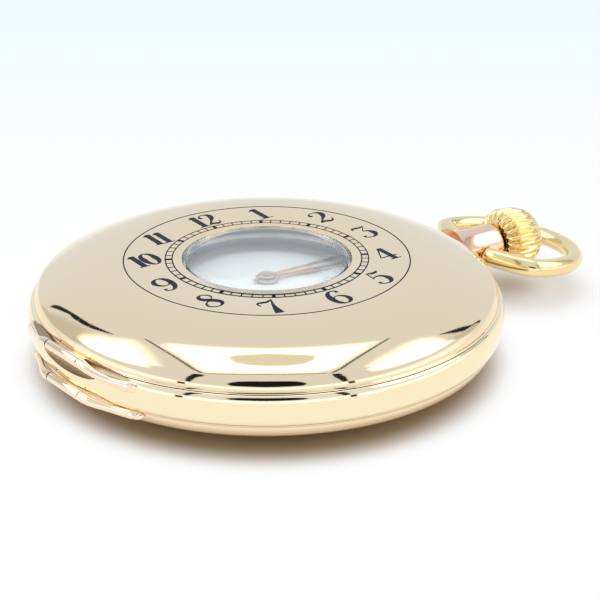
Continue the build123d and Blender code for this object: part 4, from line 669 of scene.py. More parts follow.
def bandPoints():
    joint, low, high = case["jointRadius"], case["backJoint"], frontJoint
    middle, gap, land = (low + high) / 2, band["middleGap"], joint - band["landWidth"]
    upper = followSlopes((joint, high), band["rimLegs"])
    lower = [(radius, low + high - height) for radius, height in upper]
    outer = [(land, low), (joint, low)] + [point for point in lower if point[1] < middle - gap]
    outer += [point for point in reversed(upper) if point[1] > middle + gap] + [(joint, high), (land, high)]
    collarIn, collarOut, rise = band["collarInner"], band["collarOuter"], band["collarRise"]
    inner = [
        (collarOut, high), (collarOut, high + rise), (collarIn, high + rise), (collarIn, band["shelf"]),
        (band["bore"], band["shelf"]), (band["bore"], low), (collarIn, low - rise), (collarOut, low - rise),
        (collarOut, low),
    ]
    return outer + inner


def buildScoop():
    # lens-shaped hollow under the front hinge; its cut faces take a darker gold, painted shade
    deselectAll()
    bpy.ops.mesh.primitive_uv_sphere_add(segments=96, ring_count=48, radius=mm)
    scoop = bpy.context.object
    scoop.scale = band["scoopHalves"]
    settle(scoop)
    return paint(layOnHinge(scoop, band["scoopHeight"]), "shadedHollowGold")


def buildBand():
    # the band takes its lighter copy of the case gold, painted light
    ring = paint(turnOnLathe("caseBand", bandPoints(), case["segments"]), "bandLitGold")
    inner, outer, half = band["slotInner"], band["slotOuter"], band["slotHalf"]
    top = frontJoint + band["catchTop"]
    slot = addBlock((inner, -half, band["slotFloor"]), (outer, half, top))
    grooves = [addSector(inner, outer, start, end, band["grooveFloor"], top) for start, end in band["grooves"]]
    stemWay = layAlongStem(addDrum(band["stemWay"], band["stemWayLength"], (0, 0, band["stemWayMiddle"])))
    notches = middleNotch(hinge["frontHeight"], band["notch"]) + outerNotches(hinge["backHeight"])
    cutAway(ring, [slot, stemWay] + grooves + notches)
    cutAway(ring, [buildScoop()] + rimHollows())
    ring = joinPieces([ring, middleKnuckle(hinge["backHeight"])], "caseBand")
    return finishPiece(ring, None, "case", "case_gold", "case_band")


buildBand()
print("band ready")

window = {
    "radius": 8.82, "edge": 10.84, "edgeRound": 0.06, "apex": 12.0, "wall": 0.4, "edgeDrop": 0.05,
    "flange": 10.0, "flangeRadius": 9.5, "seat": 10.35, "pole": 0.1, "rows": 16,
}


def domeHeight(radius, width, base, rise):
    big = (width ** 2 + rise ** 2) / (2 * rise)
    return base + math.sqrt(big ** 2 - radius ** 2) - big + rise


def windowPoints():
    radius, edge, apex, wall = window["radius"], window["edge"], window["apex"], window["wall"]
    corner, rise, rows = window["edgeRound"], apex - edge, window["rows"]
    inside = radius - wall
    points = [(window["pole"], apex)]
    points += [(value, domeHeight(value, radius, edge, rise))
               for value in (radius * share / rows for share in range(1, rows))]
    points += arcPoints((radius - corner, edge - corner), corner, 76, 0, 4)
    points += [(radius, window["seat"]), (window["flangeRadius"], window["seat"])]
    points += [(window["flangeRadius"], window["flange"]), (inside, window["flange"])]
    points += [(inside, edge - wall - window["edgeDrop"])]
    points += [(value, domeHeight(value, inside, edge - wall, rise))
               for value in (inside * share / rows for share in range(rows - 1, 0, -1))]
    points += [(window["pole"], apex - wall)]
    return points


windowGlass = turnWithPoles("windowGlass", windowPoints(), 160, 50)
finishPiece(windowGlass, "crystal", "front_lid", "crystal", "window_glass")

# ring that holds the glass from below, stepped for its flange
holdRing = {"outer": 10.2, "low": 9.7, "high": 10.34, "stepRadius": 9.52, "step": 9.99, "softness": 0.04}
ringProfile = [
    (case["windowRadius"], holdRing["low"]), (holdRing["outer"], holdRing["low"]),
    (holdRing["outer"], holdRing["high"]), (holdRing["stepRadius"], holdRing["high"]),
    (holdRing["stepRadius"], holdRing["step"]), (case["windowRadius"], holdRing["step"]),
]
windowRing = softenEdges(turnOnLathe("windowRing", ringProfile, 128), holdRing["softness"])
finishPiece(windowRing, "innerGold", "front_lid", "case_gold", "window_ring")
print("window ready")

# numerals: strokes on a cell one high, as places and half widths, fine hairlines against full stems
hair = 0.02
digitStrokes = {
    "0": [[(0, 1, hair), (-0.19, 0.86, 0.07), (-0.26, 0.5, 0.115), (-0.19, 0.14, 0.07), (0, 0, hair),
           (0.19, 0.14, 0.07), (0.26, 0.5, 0.115), (0.19, 0.86, 0.07), (0, 1, hair)]],
    "1": [[(0, 0, 0.105), (0, 0.99, 0.105)], [(0.02, 0.97, 0.05), (-0.22, 0.86, hair)],
          [(-0.24, 0.015, hair), (0.24, 0.015, hair)]],
    "2": [[(-0.2, 0.72, 0.075), (-0.27, 0.8, 0.05), (-0.18, 0.95, 0.02), (0.0, 1.0, 0.02), (0.2, 0.88, 0.09),
           (0.19, 0.66, 0.1), (0.0, 0.38, 0.045), (-0.27, 0.08, hair)],
          [(-0.27, 0.05, 0.03), (-0.12, 0.12, 0.07), (0.1, 0.06, 0.075), (0.24, 0.1, 0.035),
           (0.3, 0.28, hair)]],
    "3": [[(-0.25, 0.8, hair), (-0.22, 0.92, 0.045), (-0.05, 0.93, 0.06), (0.1, 0.93, 0.05),
           (0.26, 0.98, hair)],
          [(0.26, 0.97, hair), (0.0, 0.6, hair)],
          [(0.0, 0.58, hair), (0.16, 0.54, 0.05), (0.26, 0.32, 0.11), (0.16, 0.07, 0.06), (-0.04, 0.0, hair),
           (-0.22, 0.08, 0.03), (-0.22, 0.2, 0.07)]],
    "4": [[(0.06, 1.0, 0.03), (-0.34, 0.27, hair)], [(-0.34, 0.27, 0.025), (0.3, 0.27, 0.025)],
          [(0.09, 0.0, 0.095), (0.09, 0.99, 0.095)], [(-0.12, 0.015, hair), (0.3, 0.015, hair)]],
    "5": [[(-0.17, 0.97, hair), (-0.02, 0.91, 0.06), (0.14, 0.92, 0.06), (0.26, 1.0, hair)],
          [(-0.17, 0.97, hair), (-0.22, 0.5, hair)],
          [(-0.22, 0.5, hair), (-0.06, 0.62, 0.025), (0.16, 0.56, 0.06), (0.26, 0.33, 0.11),
           (0.16, 0.07, 0.06),
           (-0.04, 0.0, hair), (-0.22, 0.07, 0.03), (-0.22, 0.19, 0.07)]],
    "6": [[(0.17, 0.83, 0.07), (0.19, 0.93, 0.03), (0.05, 1.0, hair), (-0.15, 0.88, 0.07), (-0.26, 0.5, 0.11),
           (-0.19, 0.12, 0.08), (0.0, 0.0, hair), (0.18, 0.1, 0.07), (0.26, 0.3, 0.085), (0.17, 0.52, 0.05),
           (0.0, 0.6, hair), (-0.16, 0.52, hair), (-0.22, 0.4, hair)]],
    "7": [[(-0.27, 0.72, hair), (-0.25, 0.94, 0.035), (-0.1, 0.93, 0.06), (0.08, 0.9, 0.05),
           (0.28, 0.99, hair)],
          [(0.28, 0.99, hair), (0.1, 0.55, 0.055), (-0.04, 0.0, 0.15)]],
    "8": [[(0.15, 0.92, 0.03), (0.0, 1.0, hair), (-0.18, 0.9, 0.06), (-0.18, 0.72, 0.085), (0.0, 0.55, 0.1),
           (0.19, 0.38, 0.1), (0.25, 0.18, 0.07), (0.03, 0.0, hair), (-0.2, 0.07, 0.03), (-0.26, 0.24, 0.04),
           (-0.16, 0.42, 0.025), (0.0, 0.52, hair), (0.15, 0.66, hair), (0.2, 0.8, 0.03), (0.15, 0.92, 0.03)]],
}
digitStrokes["9"] = [[(-x, 1 - y, wide) for x, y, wide in stroke] for stroke in digitStrokes["6"]]
digitWidths = {"1": 0.44, "usual": 0.66, "pairShare": 0.82}


def addStroke(curve, points):
    # a flat ribbon that swells and thins with the radius of its points
    if len(points) > 2:
        spline = curve.splines.new("BEZIER")
        spline.resolution_u = 6
        knots = spline.bezier_points
    else:
        spline = curve.splines.new("POLY")
        knots = spline.points
    knots.add(len(points) - 1)
    for knot, (x, y, z, wide) in zip(knots, points):
        knot.co = (x, y, z) if len(points) > 2 else (x, y, z, 1)
        knot.radius = wide
        knot.tilt = math.pi / 2
        if len(points) > 2:
            knot.handle_left_type = knot.handle_right_type = "AUTO"


def printNumbers(name, numbers, height, level, thickness, stretch=1.0):
    # numbers are words with the middle of each, all upright; two digits stand closer together
    deselectAll()
    curve = ribbonCurve(name)
    for word, (middleX, middleY) in numbers:
        spread = stretch * (digitWidths["pairShare"] if len(word) > 1 else 1.0)
        widths = [digitWidths.get(digit, digitWidths["usual"]) * spread for digit in word]
        cursor = -sum(widths) / 2
        for digit, width in zip(word, widths):
            for stroke in digitStrokes[digit]:
                points = [((middleX + (cursor + width / 2 + x * spread) * height) * mm,
                           (middleY + (y - 0.5) * height) * mm, level * mm, wide * height * mm)
                          for x, y, wide in stroke]
                addStroke(curve, points)
            cursor += width
    piece = thicken(curveToMesh(name, curve), thickness)
    return tidyMesh(piece, 30, 0.0000001)


def onClock(radius, hour):
    angle = math.radians(90 - 30 * hour)
    return (radius * math.cos(angle), radius * math.sin(angle))


def ringTicks(name, inner, outer, width, count, level, thickness, middle=(0, 0)):
    # short radial bars between two circles
    x, y = middle
    tick = addBlock((x + inner, y - width / 2, level), (x + outer, y + width / 2, level + thickness))
    return rename(turnEachWay(tick, count, middle), name)


# printed ring of the lid; a few of its numbers stand a little off their ray
lidRing = {
    "numberRadius": 12.66, "numberHeight": 3.15, "numberLevel": 0.008, "numberThickness": 0.012,
    "outerLine": 14.9, "outerWide": 0.14, "innerLine": 9.86, "trackLine": 10.58, "trackWide": 0.13,
    "tick": 0.12, "block": 0.4, "bottom": 0.002, "top": 0.014,
    "nudges": {"2": (0.36, -0.07), "4": (-0.27, 0.1), "7": (-0.43, 0), "9": (0.1, -0.37), "11": (-0.44, -0.17),
               "12": (0.2, -0.14)},
}


def buildLidRing():
    low, high = lidTop + lidRing["bottom"], lidTop + lidRing["top"]
    numbers = []
    for hour in range(1, 13):
        x, y = onClock(lidRing["numberRadius"], hour)
        aside, up = lidRing["nudges"].get(str(hour), (0, 0))
        numbers.append((str(hour), (x + aside, y + up)))
    words = printNumbers("lidNumbers", numbers, lidRing["numberHeight"], lidTop + lidRing["numberLevel"],
                         lidRing["numberThickness"])
    finishPiece(words, "ringEnamel", "front_lid", "enamel")
    inner, outer, wide = lidRing["innerLine"], lidRing["trackLine"], lidRing["trackWide"]
    pieces = []
    for radius, wide in ((lidRing["outerLine"], lidRing["outerWide"]), (inner, wide), (outer, wide)):
        pieces.append(turnOnLathe("line", boxedRing(radius - wide / 2, radius + wide / 2, low, high), 240))
    pieces.append(ringTicks("ticks", inner, outer, lidRing["tick"], 60, low, high - low))
    pieces.append(ringTicks("blocks", inner, outer, lidRing["block"], 12, low, high - low))
    finishPiece(joinPieces(pieces, "lidTrack"), "ringEnamel", "front_lid", "enamel")


buildLidRing()
print("lid ring ready")

dial = {
    "radius": 21.7, "low": 7.3, "high": 7.58, "edge": 0.05, "hole": 0.92,
    "numberRadius": 16.9, "numberHeight": 3.5, "numberStretch": 0.92, "trackInner": 19.9, "trackOuter": 20.6,
    "lineHalf": 0.05, "minuteTick": 0.09, "hourTick": 0.34, "hourReach": 0.25,
    "printGap": 0.002, "print": 0.012,
    # sunk part round the small seconds
    "secondsPlace": (0, -10), "secondsHole": 0.26, "sunk": 0.08, "sunkRadius": 4.95, "sunkSlope": 0.13,
    "overrun": 0.2, "pole": 0.05,
    "secondsRadius": 4.3, "secondsTrack": 0.5, "tensReach": 0.75, "secondsLineHalf": 0.035, "secondTick": 0.06,
    "tenTick": 0.1, "tensRadius": 2.85, "tensHeight": 0.95,
}


def buildDial():
    edge, low, high, hole, outer = dial["edge"], dial["low"], dial["high"], dial["hole"], dial["radius"]
    profile = [(hole, low), (outer, low), (outer, high - edge), (outer - edge, high), (hole + edge, high),
               (hole, high - edge)]
    plate = turnOnLathe("dialPlate", profile, 160)
    sunkLevel, overTop, sunkRadius = high - dial["sunk"], high + dial["overrun"], dial["sunkRadius"]
    sinkProfile = [(dial["pole"], sunkLevel), (sunkRadius, sunkLevel),
                   (sunkRadius + dial["sunkSlope"], overTop), (dial["pole"], overTop)]
    sink = turnWithPoles("sink", sinkProfile, 96, 30, dial["secondsPlace"])
    secondsHole = addDrum(dial["secondsHole"], 2, (*dial["secondsPlace"], low))
    cutAway(plate, [sink, secondsHole])
    finishPiece(plate, "dialEnamel", "case", "enamel", "dial")


def printDial():
    thick, level = dial["print"], dial["high"] + dial["printGap"]
    inner, outer, lineHalf = dial["trackInner"], dial["trackOuter"], dial["lineHalf"]
    numbers = [(str(hour), onClock(dial["numberRadius"], hour)) for hour in range(1, 13) if hour != 6]
    pieces = [printNumbers("dialNumbers", numbers, dial["numberHeight"], level + thick / 2, thick,
                           dial["numberStretch"])]
    for radius in (inner, outer):
        line = boxedRing(radius - lineHalf, radius + lineHalf, level, level + thick)
        pieces.append(turnOnLathe("line", line, 200))
    pieces.append(ringTicks("ticks", inner, outer, dial["minuteTick"], 60, level, thick))
    pieces.append(ringTicks("hours", inner - dial["hourReach"], outer, dial["hourTick"], 12, level, thick))
    # small seconds
    level -= dial["sunk"]
    middle, outer, lineHalf = dial["secondsPlace"], dial["secondsRadius"], dial["secondsLineHalf"]
    inner = outer - dial["secondsTrack"]
    for radius in (outer, inner):
        line = boxedRing(radius - lineHalf, radius + lineHalf, level, level + thick)
        pieces.append(turnOnLathe("line", line, 120, centre=middle))
    pieces.append(ringTicks("seconds", inner, outer, dial["secondTick"], 60, level, thick, middle))
    inner = outer - dial["tensReach"]
    pieces.append(ringTicks("tens", inner, outer, dial["tenTick"], 12, level, thick, middle))
    tens = []
    for second in (10, 20, 30, 40, 50, 60):
        x, y = onClock(dial["tensRadius"], second / 5)
        tens.append((str(second), (middle[0] + x, middle[1] + y)))
    pieces.append(printNumbers("secondsNumbers", tens, dial["tensHeight"], level + thick / 2, thick))
    finishPiece(joinPieces(pieces, "dialPrint"), "dialInk", "case", "enamel")


buildDial()
printDial()
print("dial ready")

# leaf blade: shares of its length, with half widths as shares of the hand's width; then the tail's two ends
bladeShares = [(0.0, 0.3), (0.3, 0.28), (0.44, 0.42), (0.52, 0.5), (0.6, 0.42), (0.7, 0.28), (1.0, 0.07)]
tailShares = (0.27, 0.216)
hands = {
    "hour": {
        "length": 9.2, "width": 0.9, "tail": 0.5, "boss": 1.2, "bore": 0.82, "bossLow": 7.7, "bossHigh": 8.11,
        "level": 7.85, "turn": -7.5, "place": (0, 0),
        "body": "hour", "node": "hour_hand", "bossFinish": "groundSteel"},
    "minute": {
        "length": 14.2, "width": 0.75, "tail": 0.5, "boss": 0.9, "bore": 0.52, "bossLow": 8.15,
        "bossHigh": 8.34, "level": 8.15, "turn": 0.0, "place": (0, 0),
        "body": "centre", "node": "minute_hand", "bossFinish": "handGold"},
    "seconds": {
        "length": 3.0, "width": 0.3, "tail": 1.1, "boss": 0.4, "bore": 0.16, "bossLow": 7.66, "bossHigh": 7.8,
        "level": 7.66, "turn": -90.0, "place": (0, -10),
        "body": "seconds", "node": "seconds_hand", "bossFinish": "handGold"},
}
# what all blades share: metal and its middle above the hand's level, overlap with the boss, rounded edges
blade = {"thickness": 0.12, "middle": 0.07, "bossOverlap": 0.05, "softness": 0.02, "bossSoftness": 0.035}


def buildHand(name, hand):
    # the blade starts inside the boss ring and lies a little below its top
    deselectAll()
    curve = ribbonCurve(name)
    start = hand["bore"] + blade["bossOverlap"]
    end = -(hand["boss"] + hand["tail"])
    level = (hand["level"] + blade["middle"]) * mm
    rows = [(start + (hand["length"] - start) * along, hand["width"] * wide) for along, wide in bladeShares]
    tailRows = [(place, hand["width"] * wide) for place, wide in zip((-start, end), tailShares)]
    for outline in (rows, tailRows):
        addStroke(curve, [(x * mm, 0, level, wide * mm) for x, wide in outline])
    piece = thicken(curveToMesh(name, curve), blade["thickness"])
    tidyMesh(piece, 30)
    paint(softenEdges(piece, blade["softness"]), "handGold")
    boss = turnOnLathe("boss", boxedRing(hand["bore"], hand["boss"], hand["bossLow"], hand["bossHigh"]), 48)
    paint(softenEdges(boss, blade["bossSoftness"]), hand["bossFinish"])
    piece = joinPieces([piece, boss], name)
    piece.rotation_euler = (0, 0, math.radians(hand["turn"]))
    piece.location = (hand["place"][0] * mm, hand["place"][1] * mm, 0)
    settle(piece)
    return finishPiece(piece, None, hand["body"], "rose_gold", hand["node"])


for handName, hand in hands.items():
    buildHand(handName + "Hand", hand)
print("hands ready")

# bezel that snaps on the band's collar, grooved inside for the dial glass and notched for the lid's catch
bezel = {
    "seat": 22.62, "outer": 22.97, "shoulder": 22.2, "lip": 20.9, "groove": 21.32,
    "low": 7.1, "side": 7.75, "shoulderHeight": 8.12, "top": 8.42, "grooveTop": 8.22, "grooveLow": 7.82,
    "stop": 7.62, "softness": 0.04, "notchLow": 6.9, "notchHalf": 1.4, "notchOuter": 24.0,
}
# radius and height of the next two, from the middle outward and back
dialGlass = {
    "over": [(0.1, 9.2), (9.0, 9.2), (17.0, 9.19), (17.6, 9.1), (20.88, 8.22), (20.88, 8.2), (21.3, 8.2)],
    "under": [(21.3, 7.84), (20.5, 7.84), (17.2, 8.79), (16.8, 8.8), (9.0, 8.8), (0.1, 8.8)],
}
dustCover = {
    "outside": [(0.1, 0.95), (14.94, 0.95), (17.3, 1.08), (19.5, 1.45), (22.97, 3.0), (22.97, 3.75)],
    "inside": [(22.62, 3.75), (22.62, 3.23), (22.1, 3.23), (19.33, 1.84), (17.2, 1.43), (14.94, 1.3),
               (0.1, 1.3)],
}


def buildGlassBezel():
    seat, outer, lip, groove = bezel["seat"], bezel["outer"], bezel["lip"], bezel["groove"]
    profile = [
        (seat, bezel["low"]), (outer, bezel["low"]), (outer, bezel["side"]),
        (bezel["shoulder"], bezel["shoulderHeight"]), (lip, bezel["top"]), (lip, bezel["grooveTop"]),
        (groove, bezel["grooveTop"]), (groove, bezel["grooveLow"]), (lip, bezel["grooveLow"]),
        (lip, bezel["stop"]), (seat, bezel["stop"]),
    ]
    ring = turnOnLathe("glassBezel", profile, 200)
    half = bezel["notchHalf"]
    cutAway(ring, [addBlock((seat, -half, bezel["notchLow"]), (bezel["notchOuter"], half, bezel["side"]))])
    softenEdges(ring, bezel["softness"])
    return finishPiece(ring, "innerGold", "case", "case_gold", "glass_bezel")


buildGlassBezel()
glass = turnWithPoles("dialGlass", dialGlass["over"] + dialGlass["under"], 160, 20)
finishPiece(glass, "crystal", "case", "crystal", "dial_glass")
dish = turnWithPoles("dustCover", dustCover["outside"] + dustCover["inside"], 200, 20)
finishPiece(dish, "innerGold", "case", "case_gold", "dust_cover")
print("bezel, dial glass and dust cover ready")

pendant = {
    "footStart": 24.0, "baseStart": 24.4, "flareEnd": 28.0, "baseRadius": 3.2, "radius": 2.35, "flareRows": 8,
    "flarePower": 1.9, "footRadius": 1.45, "bore": 1.2, "pivot": 28.3, "saddleInner": 20, "saddlePlay": 0.02,
    "saddleTop": 12.0,
    # rounded end of the neck and its mouth: in from the neck or out from the bore, and place along the stem
    "end": [(0, 30.2), (0, 30.6), (0.03, 30.85), (0.1, 31.0), (0.22, 31.05)],
    "mouth": [(0.5, 31.05), (0.45, 30.8), (0, 30.75)],
    # round seats of the bow on both sides: radius and where it starts
    "seats": [(0.62, 1.0), (1.05, 2.16)], "seatDepth": 3.0,
}


def pendantPoints():
    neck, bore, foot, base = pendant["radius"], pendant["bore"], pendant["footRadius"], pendant["baseStart"]
    points = []
    for index in range(pendant["flareRows"] + 1):
        share = index / pendant["flareRows"]
        wider = (pendant["baseRadius"] - neck) * (1 - share) ** pendant["flarePower"]
        points.append((neck + wider, base + (pendant["flareEnd"] - base) * share))
    points += [(neck - inset, place) for inset, place in pendant["end"]]
    points += [(bore + wider, place) for wider, place in pendant["mouth"]]
    return points + [(bore, pendant["footStart"]), (foot, pendant["footStart"]), (foot, base)]


def buildPendant():
    piece = layAlongStem(turnOnLathe("pendantNeck", pendantPoints(), 96))
    # the base is hollowed to sit on the round band, all but its foot
    rim, top = case["radius"] + pendant["saddlePlay"], pendant["saddleTop"]
    saddle = turnOnLathe("saddle", boxedRing(pendant["saddleInner"], rim, 0.0, top), 256)
    keepFoot = layAlongStem(addDrum(pendant["footRadius"], top, (0, 0, pendant["footStart"])))
    cutters = [cutAway(saddle, [keepFoot])]
    for side in (-1, 1):
        for radius, start in pendant["seats"]:
            seat = addDrum(radius, pendant["seatDepth"])
            seat.rotation_euler = (math.pi / 2, 0, 0)
            aside = side * (start + pendant["seatDepth"] / 2)
            seat.location = [value * mm for value in (pendant["pivot"], aside, stemHeight)]
            settle(seat)
            cutters.append(seat)
    cutAway(piece, cutters)
    return finishPiece(piece, "roseGold", "case", "rose_gold", "pendant")


buildPendant()
print("pendant ready")

# round wire with pins into the pendant, thicker arms and a ring; places run out from the pivot and aside
bow = {
    "pivot": 28.3, "droop": 8.5, "wire": 1.0, "armWire": 1.08, "ringMiddle": 4.7714, "ringRadius": 8.0579,
    "pin": [(1.7, 0.55), (2.63, 0.55), (2.65, 0.86), (2.7, 0.98), (2.81, 1.05)],
    "arm": [(0.05, 3.1), (0.3, 3.8), (0.68, 4.7), (1.1, 5.6), (1.55, 6.45), (2.05, 7.15)],
    "ringLead": (0.32, 0.35),
}


def bowPath():
    # out along the pivot, round one arm to the far end of the ring, then the same back on the other side
    middle = bow["ringMiddle"]
    armX, armY = bow["arm"][-1]
    leadX, leadY = bow["ringLead"]
    start = math.degrees(math.atan2(armY + leadY, armX + leadX - middle))
    half = [(0, aside, wide) for aside, wide in bow["pin"]]
    half += [(x, y, bow["armWire"]) for x, y in bow["arm"]]
    half += [(x, y, bow["wire"]) for x, y in arcPoints((middle, 0), bow["ringRadius"], start, 0, 36)]
    return half + [(x, -y, wide) for x, y, wide in half[-2::-1]]


def buildBow():
    deselectAll()
    curve = bpy.data.curves.new("bowRing", "CURVE")
    curve.dimensions = "3D"
    curve.bevel_depth = 1.0
    curve.bevel_resolution = 10
    curve.use_fill_caps = True
    path = bowPath()
    spline = curve.splines.new("POLY")
    spline.points.add(len(path) - 1)
    droop = math.radians(bow["droop"])
    for knot, (along, aside, wide) in zip(spline.points, path):
        place = (bow["pivot"] + along * math.cos(droop), aside, stemHeight - along * math.sin(droop))
        knot.co = (*(value * mm for value in place), 1)
        knot.radius = wide * mm
    piece = tidyMesh(curveToMesh("bowRing", curve), 40)
    return finishPiece(piece, "crownGold", "bow", "yellow_gold", "bow")


buildBow()
print("bow ready")

crown = {
    "start": 31.5, "length": 5.5, "radius": 3.65, "bore": 0.72, "flutes": 22, "columns": 12, "flutePower": 1.7,
    # place as a share of the length, ridge and depth of the flutes as shares of the radius
    "rows": [
        (0.0, 0.71, 0.08), (0.015, 0.79, 0.14), (0.05, 0.87, 0.17), (0.1, 0.925, 0.175), (0.18, 0.975, 0.165),
        (0.28, 1.0, 0.15), (0.4, 0.995, 0.125), (0.52, 0.975, 0.1), (0.64, 0.935, 0.07), (0.75, 0.875, 0.045),
        (0.84, 0.79, 0.028), (0.9, 0.705, 0.014), (0.95, 0.59, 0.004), (0.985, 0.42, 0.0), (1.0, 0.2, 0.0)],
}


def buildCrown():
    columns = crown["flutes"] * crown["columns"]
    outside = [
        (crown["radius"] * ridge, crown["start"] + crown["length"] * along)
        for along, ridge, _ in crown["rows"]]
    piece = turnOnLathe("crownCap", outside, columns, False, 40)
    # the flutes draw each row in between its ridges, by a depth of its own
    depths = [(height * mm, deep / ridge) for (_, height), (_, ridge, deep) in zip(outside, crown["rows"])]
    for corner in piece.data.vertices:
        phase = math.atan2(corner.co.y, corner.co.x) * crown["flutes"]
        level, deep = min(depths, key=lambda pair: abs(pair[0] - corner.co.z))
        pull = 1 - deep * (0.5 - 0.5 * math.cos(phase)) ** crown["flutePower"]
        corner.co.x *= pull
        corner.co.y *= pull
    closePoles(piece, 40)
    layAlongStem(piece)
    bore = layAlongStem(addDrum(crown["bore"], crown["length"], (0, 0, crown["start"])))
    cutAway(piece, [bore])
    return finishPiece(piece, "crownGold", "crown", "yellow_gold", "crown")


buildCrown()
print("crown ready")

view = {
    "place": (-91.8312, -137.5130, 78.3256), "turn": (66.35903, -0.31632, -34.79616),
    "lens": 102.83, "sensor": 36, "nearest": 5,
}
bpy.ops.object.camera_add(
    location=[value * mm for value in view["place"]], rotation=[math.radians(value) for value in view["turn"]])
camera = bpy.context.object
camera.data.lens = view["lens"]
camera.data.sensor_width = view["sensor"]
camera.data.clip_start = view["nearest"] * mm
bpy.context.scene.camera = camera

# the stage is laid out from the camera's side: to the right, away from the camera, up
lookTurn = math.atan2(view["place"][1], view["place"][0])
awayWay = Vector((-math.cos(lookTurn), -math.sin(lookTurn), 0))
rightWay = Vector((-math.sin(lookTurn), math.cos(lookTurn), 0))


def onStage(right, away, up):
    return rightWay * right + awayWay * away + Vector((0, 0, up))


def cardFinish(name, colour, strength, soft=False):
    # shows only in mirror-like surfaces; a soft card fades out towards its outline
    material = bpy.data.materials.new(name)
    material.use_nodes = True
    nodes, links = material.node_tree.nodes, material.node_tree.links
    nodes.clear()
    output = nodes.new("ShaderNodeOutputMaterial")
    glow = nodes.new("ShaderNodeEmission")
    glow.inputs["Color"].default_value = (*colour, 1)
    glow.inputs["Strength"].default_value = strength
    clear = nodes.new("ShaderNodeBsdfTransparent")
    path = nodes.new("ShaderNodeLightPath")
    choose = nodes.new("ShaderNodeMixShader")
    links.new(clear.outputs[0], choose.inputs[1])
    links.new(glow.outputs[0], choose.inputs[2])
    seen = path.outputs["Is Glossy Ray"]
    if soft:
        shape = nodes.new("ShaderNodeAttribute")
        shape.attribute_name = "glow"
        fade = fadeBetween(nodes, 0.0, 1.0)
        links.new(shape.outputs["Fac"], fade.inputs["Value"])
        both = addMath(nodes, "MULTIPLY")
        links.new(seen, both.inputs[0])
        links.new(fade.outputs["Result"], both.inputs[1])
        seen = both.outputs[0]
    links.new(seen, choose.inputs[0])
    links.new(choose.outputs[0], output.inputs["Surface"])
    return material


def hangSheet(name, corners, faces, glow, material):
    # a mesh of the stage, with a glow for each corner that a soft card fades by
    mesh = bpy.data.meshes.new(name)
    mesh.from_pydata(corners, [], faces)
    mesh.attributes.new("glow", "FLOAT", "POINT").data.foreach_set("value", glow)
    mesh.materials.append(material)
    sheet = bpy.data.objects.new(name, mesh)
    bpy.context.collection.objects.link(sheet)
    return sheet


def towards(turn, rise, distance):
    # place seen from the watch at a turn from the camera's side and a rise, in degrees
    turn, rise = math.radians(turn), math.radians(rise)
    level = distance * math.cos(rise)
    return onStage(level * math.sin(turn), -level * math.cos(turn), distance * math.sin(rise))


def addSkyShape(name, outline, distance, material, inset):
    # a shape hung round the watch that fades out over a border of its own
    corners = [towards(turn, rise, distance) for turn, rise in outline]
    count = len(corners)
    middle = sum(corners, Vector()) / count
    inner = [corner.lerp(middle, inset) for corner in corners]
    pairs = [(index, (index + 1) % count) for index in range(count)]
    faces = [(first, second, count + second, count + first) for first, second in pairs]
    faces += [(count + first, count + second, 2 * count) for first, second in pairs]
    glow = [0.0] * count + [1.0] * (count + 1)
    return hangSheet(name, corners + inner + [middle], faces, glow, material)


# light tent round the watch: sizes in metres, with dark seams between its sheets
tent = {
    "roof": 0.5, "roofFront": 0.022, "roofBack": 0.295, "roofMiddle": 0.2465, "frontHalf": 0.128,
    "backHalf": 0.21, "seam": 0.0035, "seamDrop": 0.004, "frontSeamShare": 1.6, "sideSeamShares": (2.2, 1.6),
    # places and glow of the roof's rows, as shares of its half width and depth
    "across": (-1, -0.78, -0.5, 0, 0.5, 0.78, 1), "along": (0, 0.2, 0.82, 1), "borderGlow": 0.2,
}
# bright strip of wall low down in front: turn to each side and rises in degrees
frontWall = {"turn": 130, "lowRise": 0.2, "highRise": 15, "distance": 4.8, "columns": 48, "endShare": 0.25}
panelWhite = cardFinish("panelWhite", (1.0, 1.0, 1.0), 2.2, True)
glowWhite = cardFinish("glowWhite", (1.0, 0.99, 0.97), 2.3, True)
seamDark = cardFinish("seamDark", (0.012, 0.013, 0.014), 1.0)
openingGrey = cardFinish("openingGrey", (0.82, 0.85, 0.84), 1.0, True)
wallBright = cardFinish("wallBright", (1.0, 1.0, 1.0), 1.55, True)
wallGrey = cardFinish("wallGrey", (0.62, 0.64, 0.63), 1.0, True)
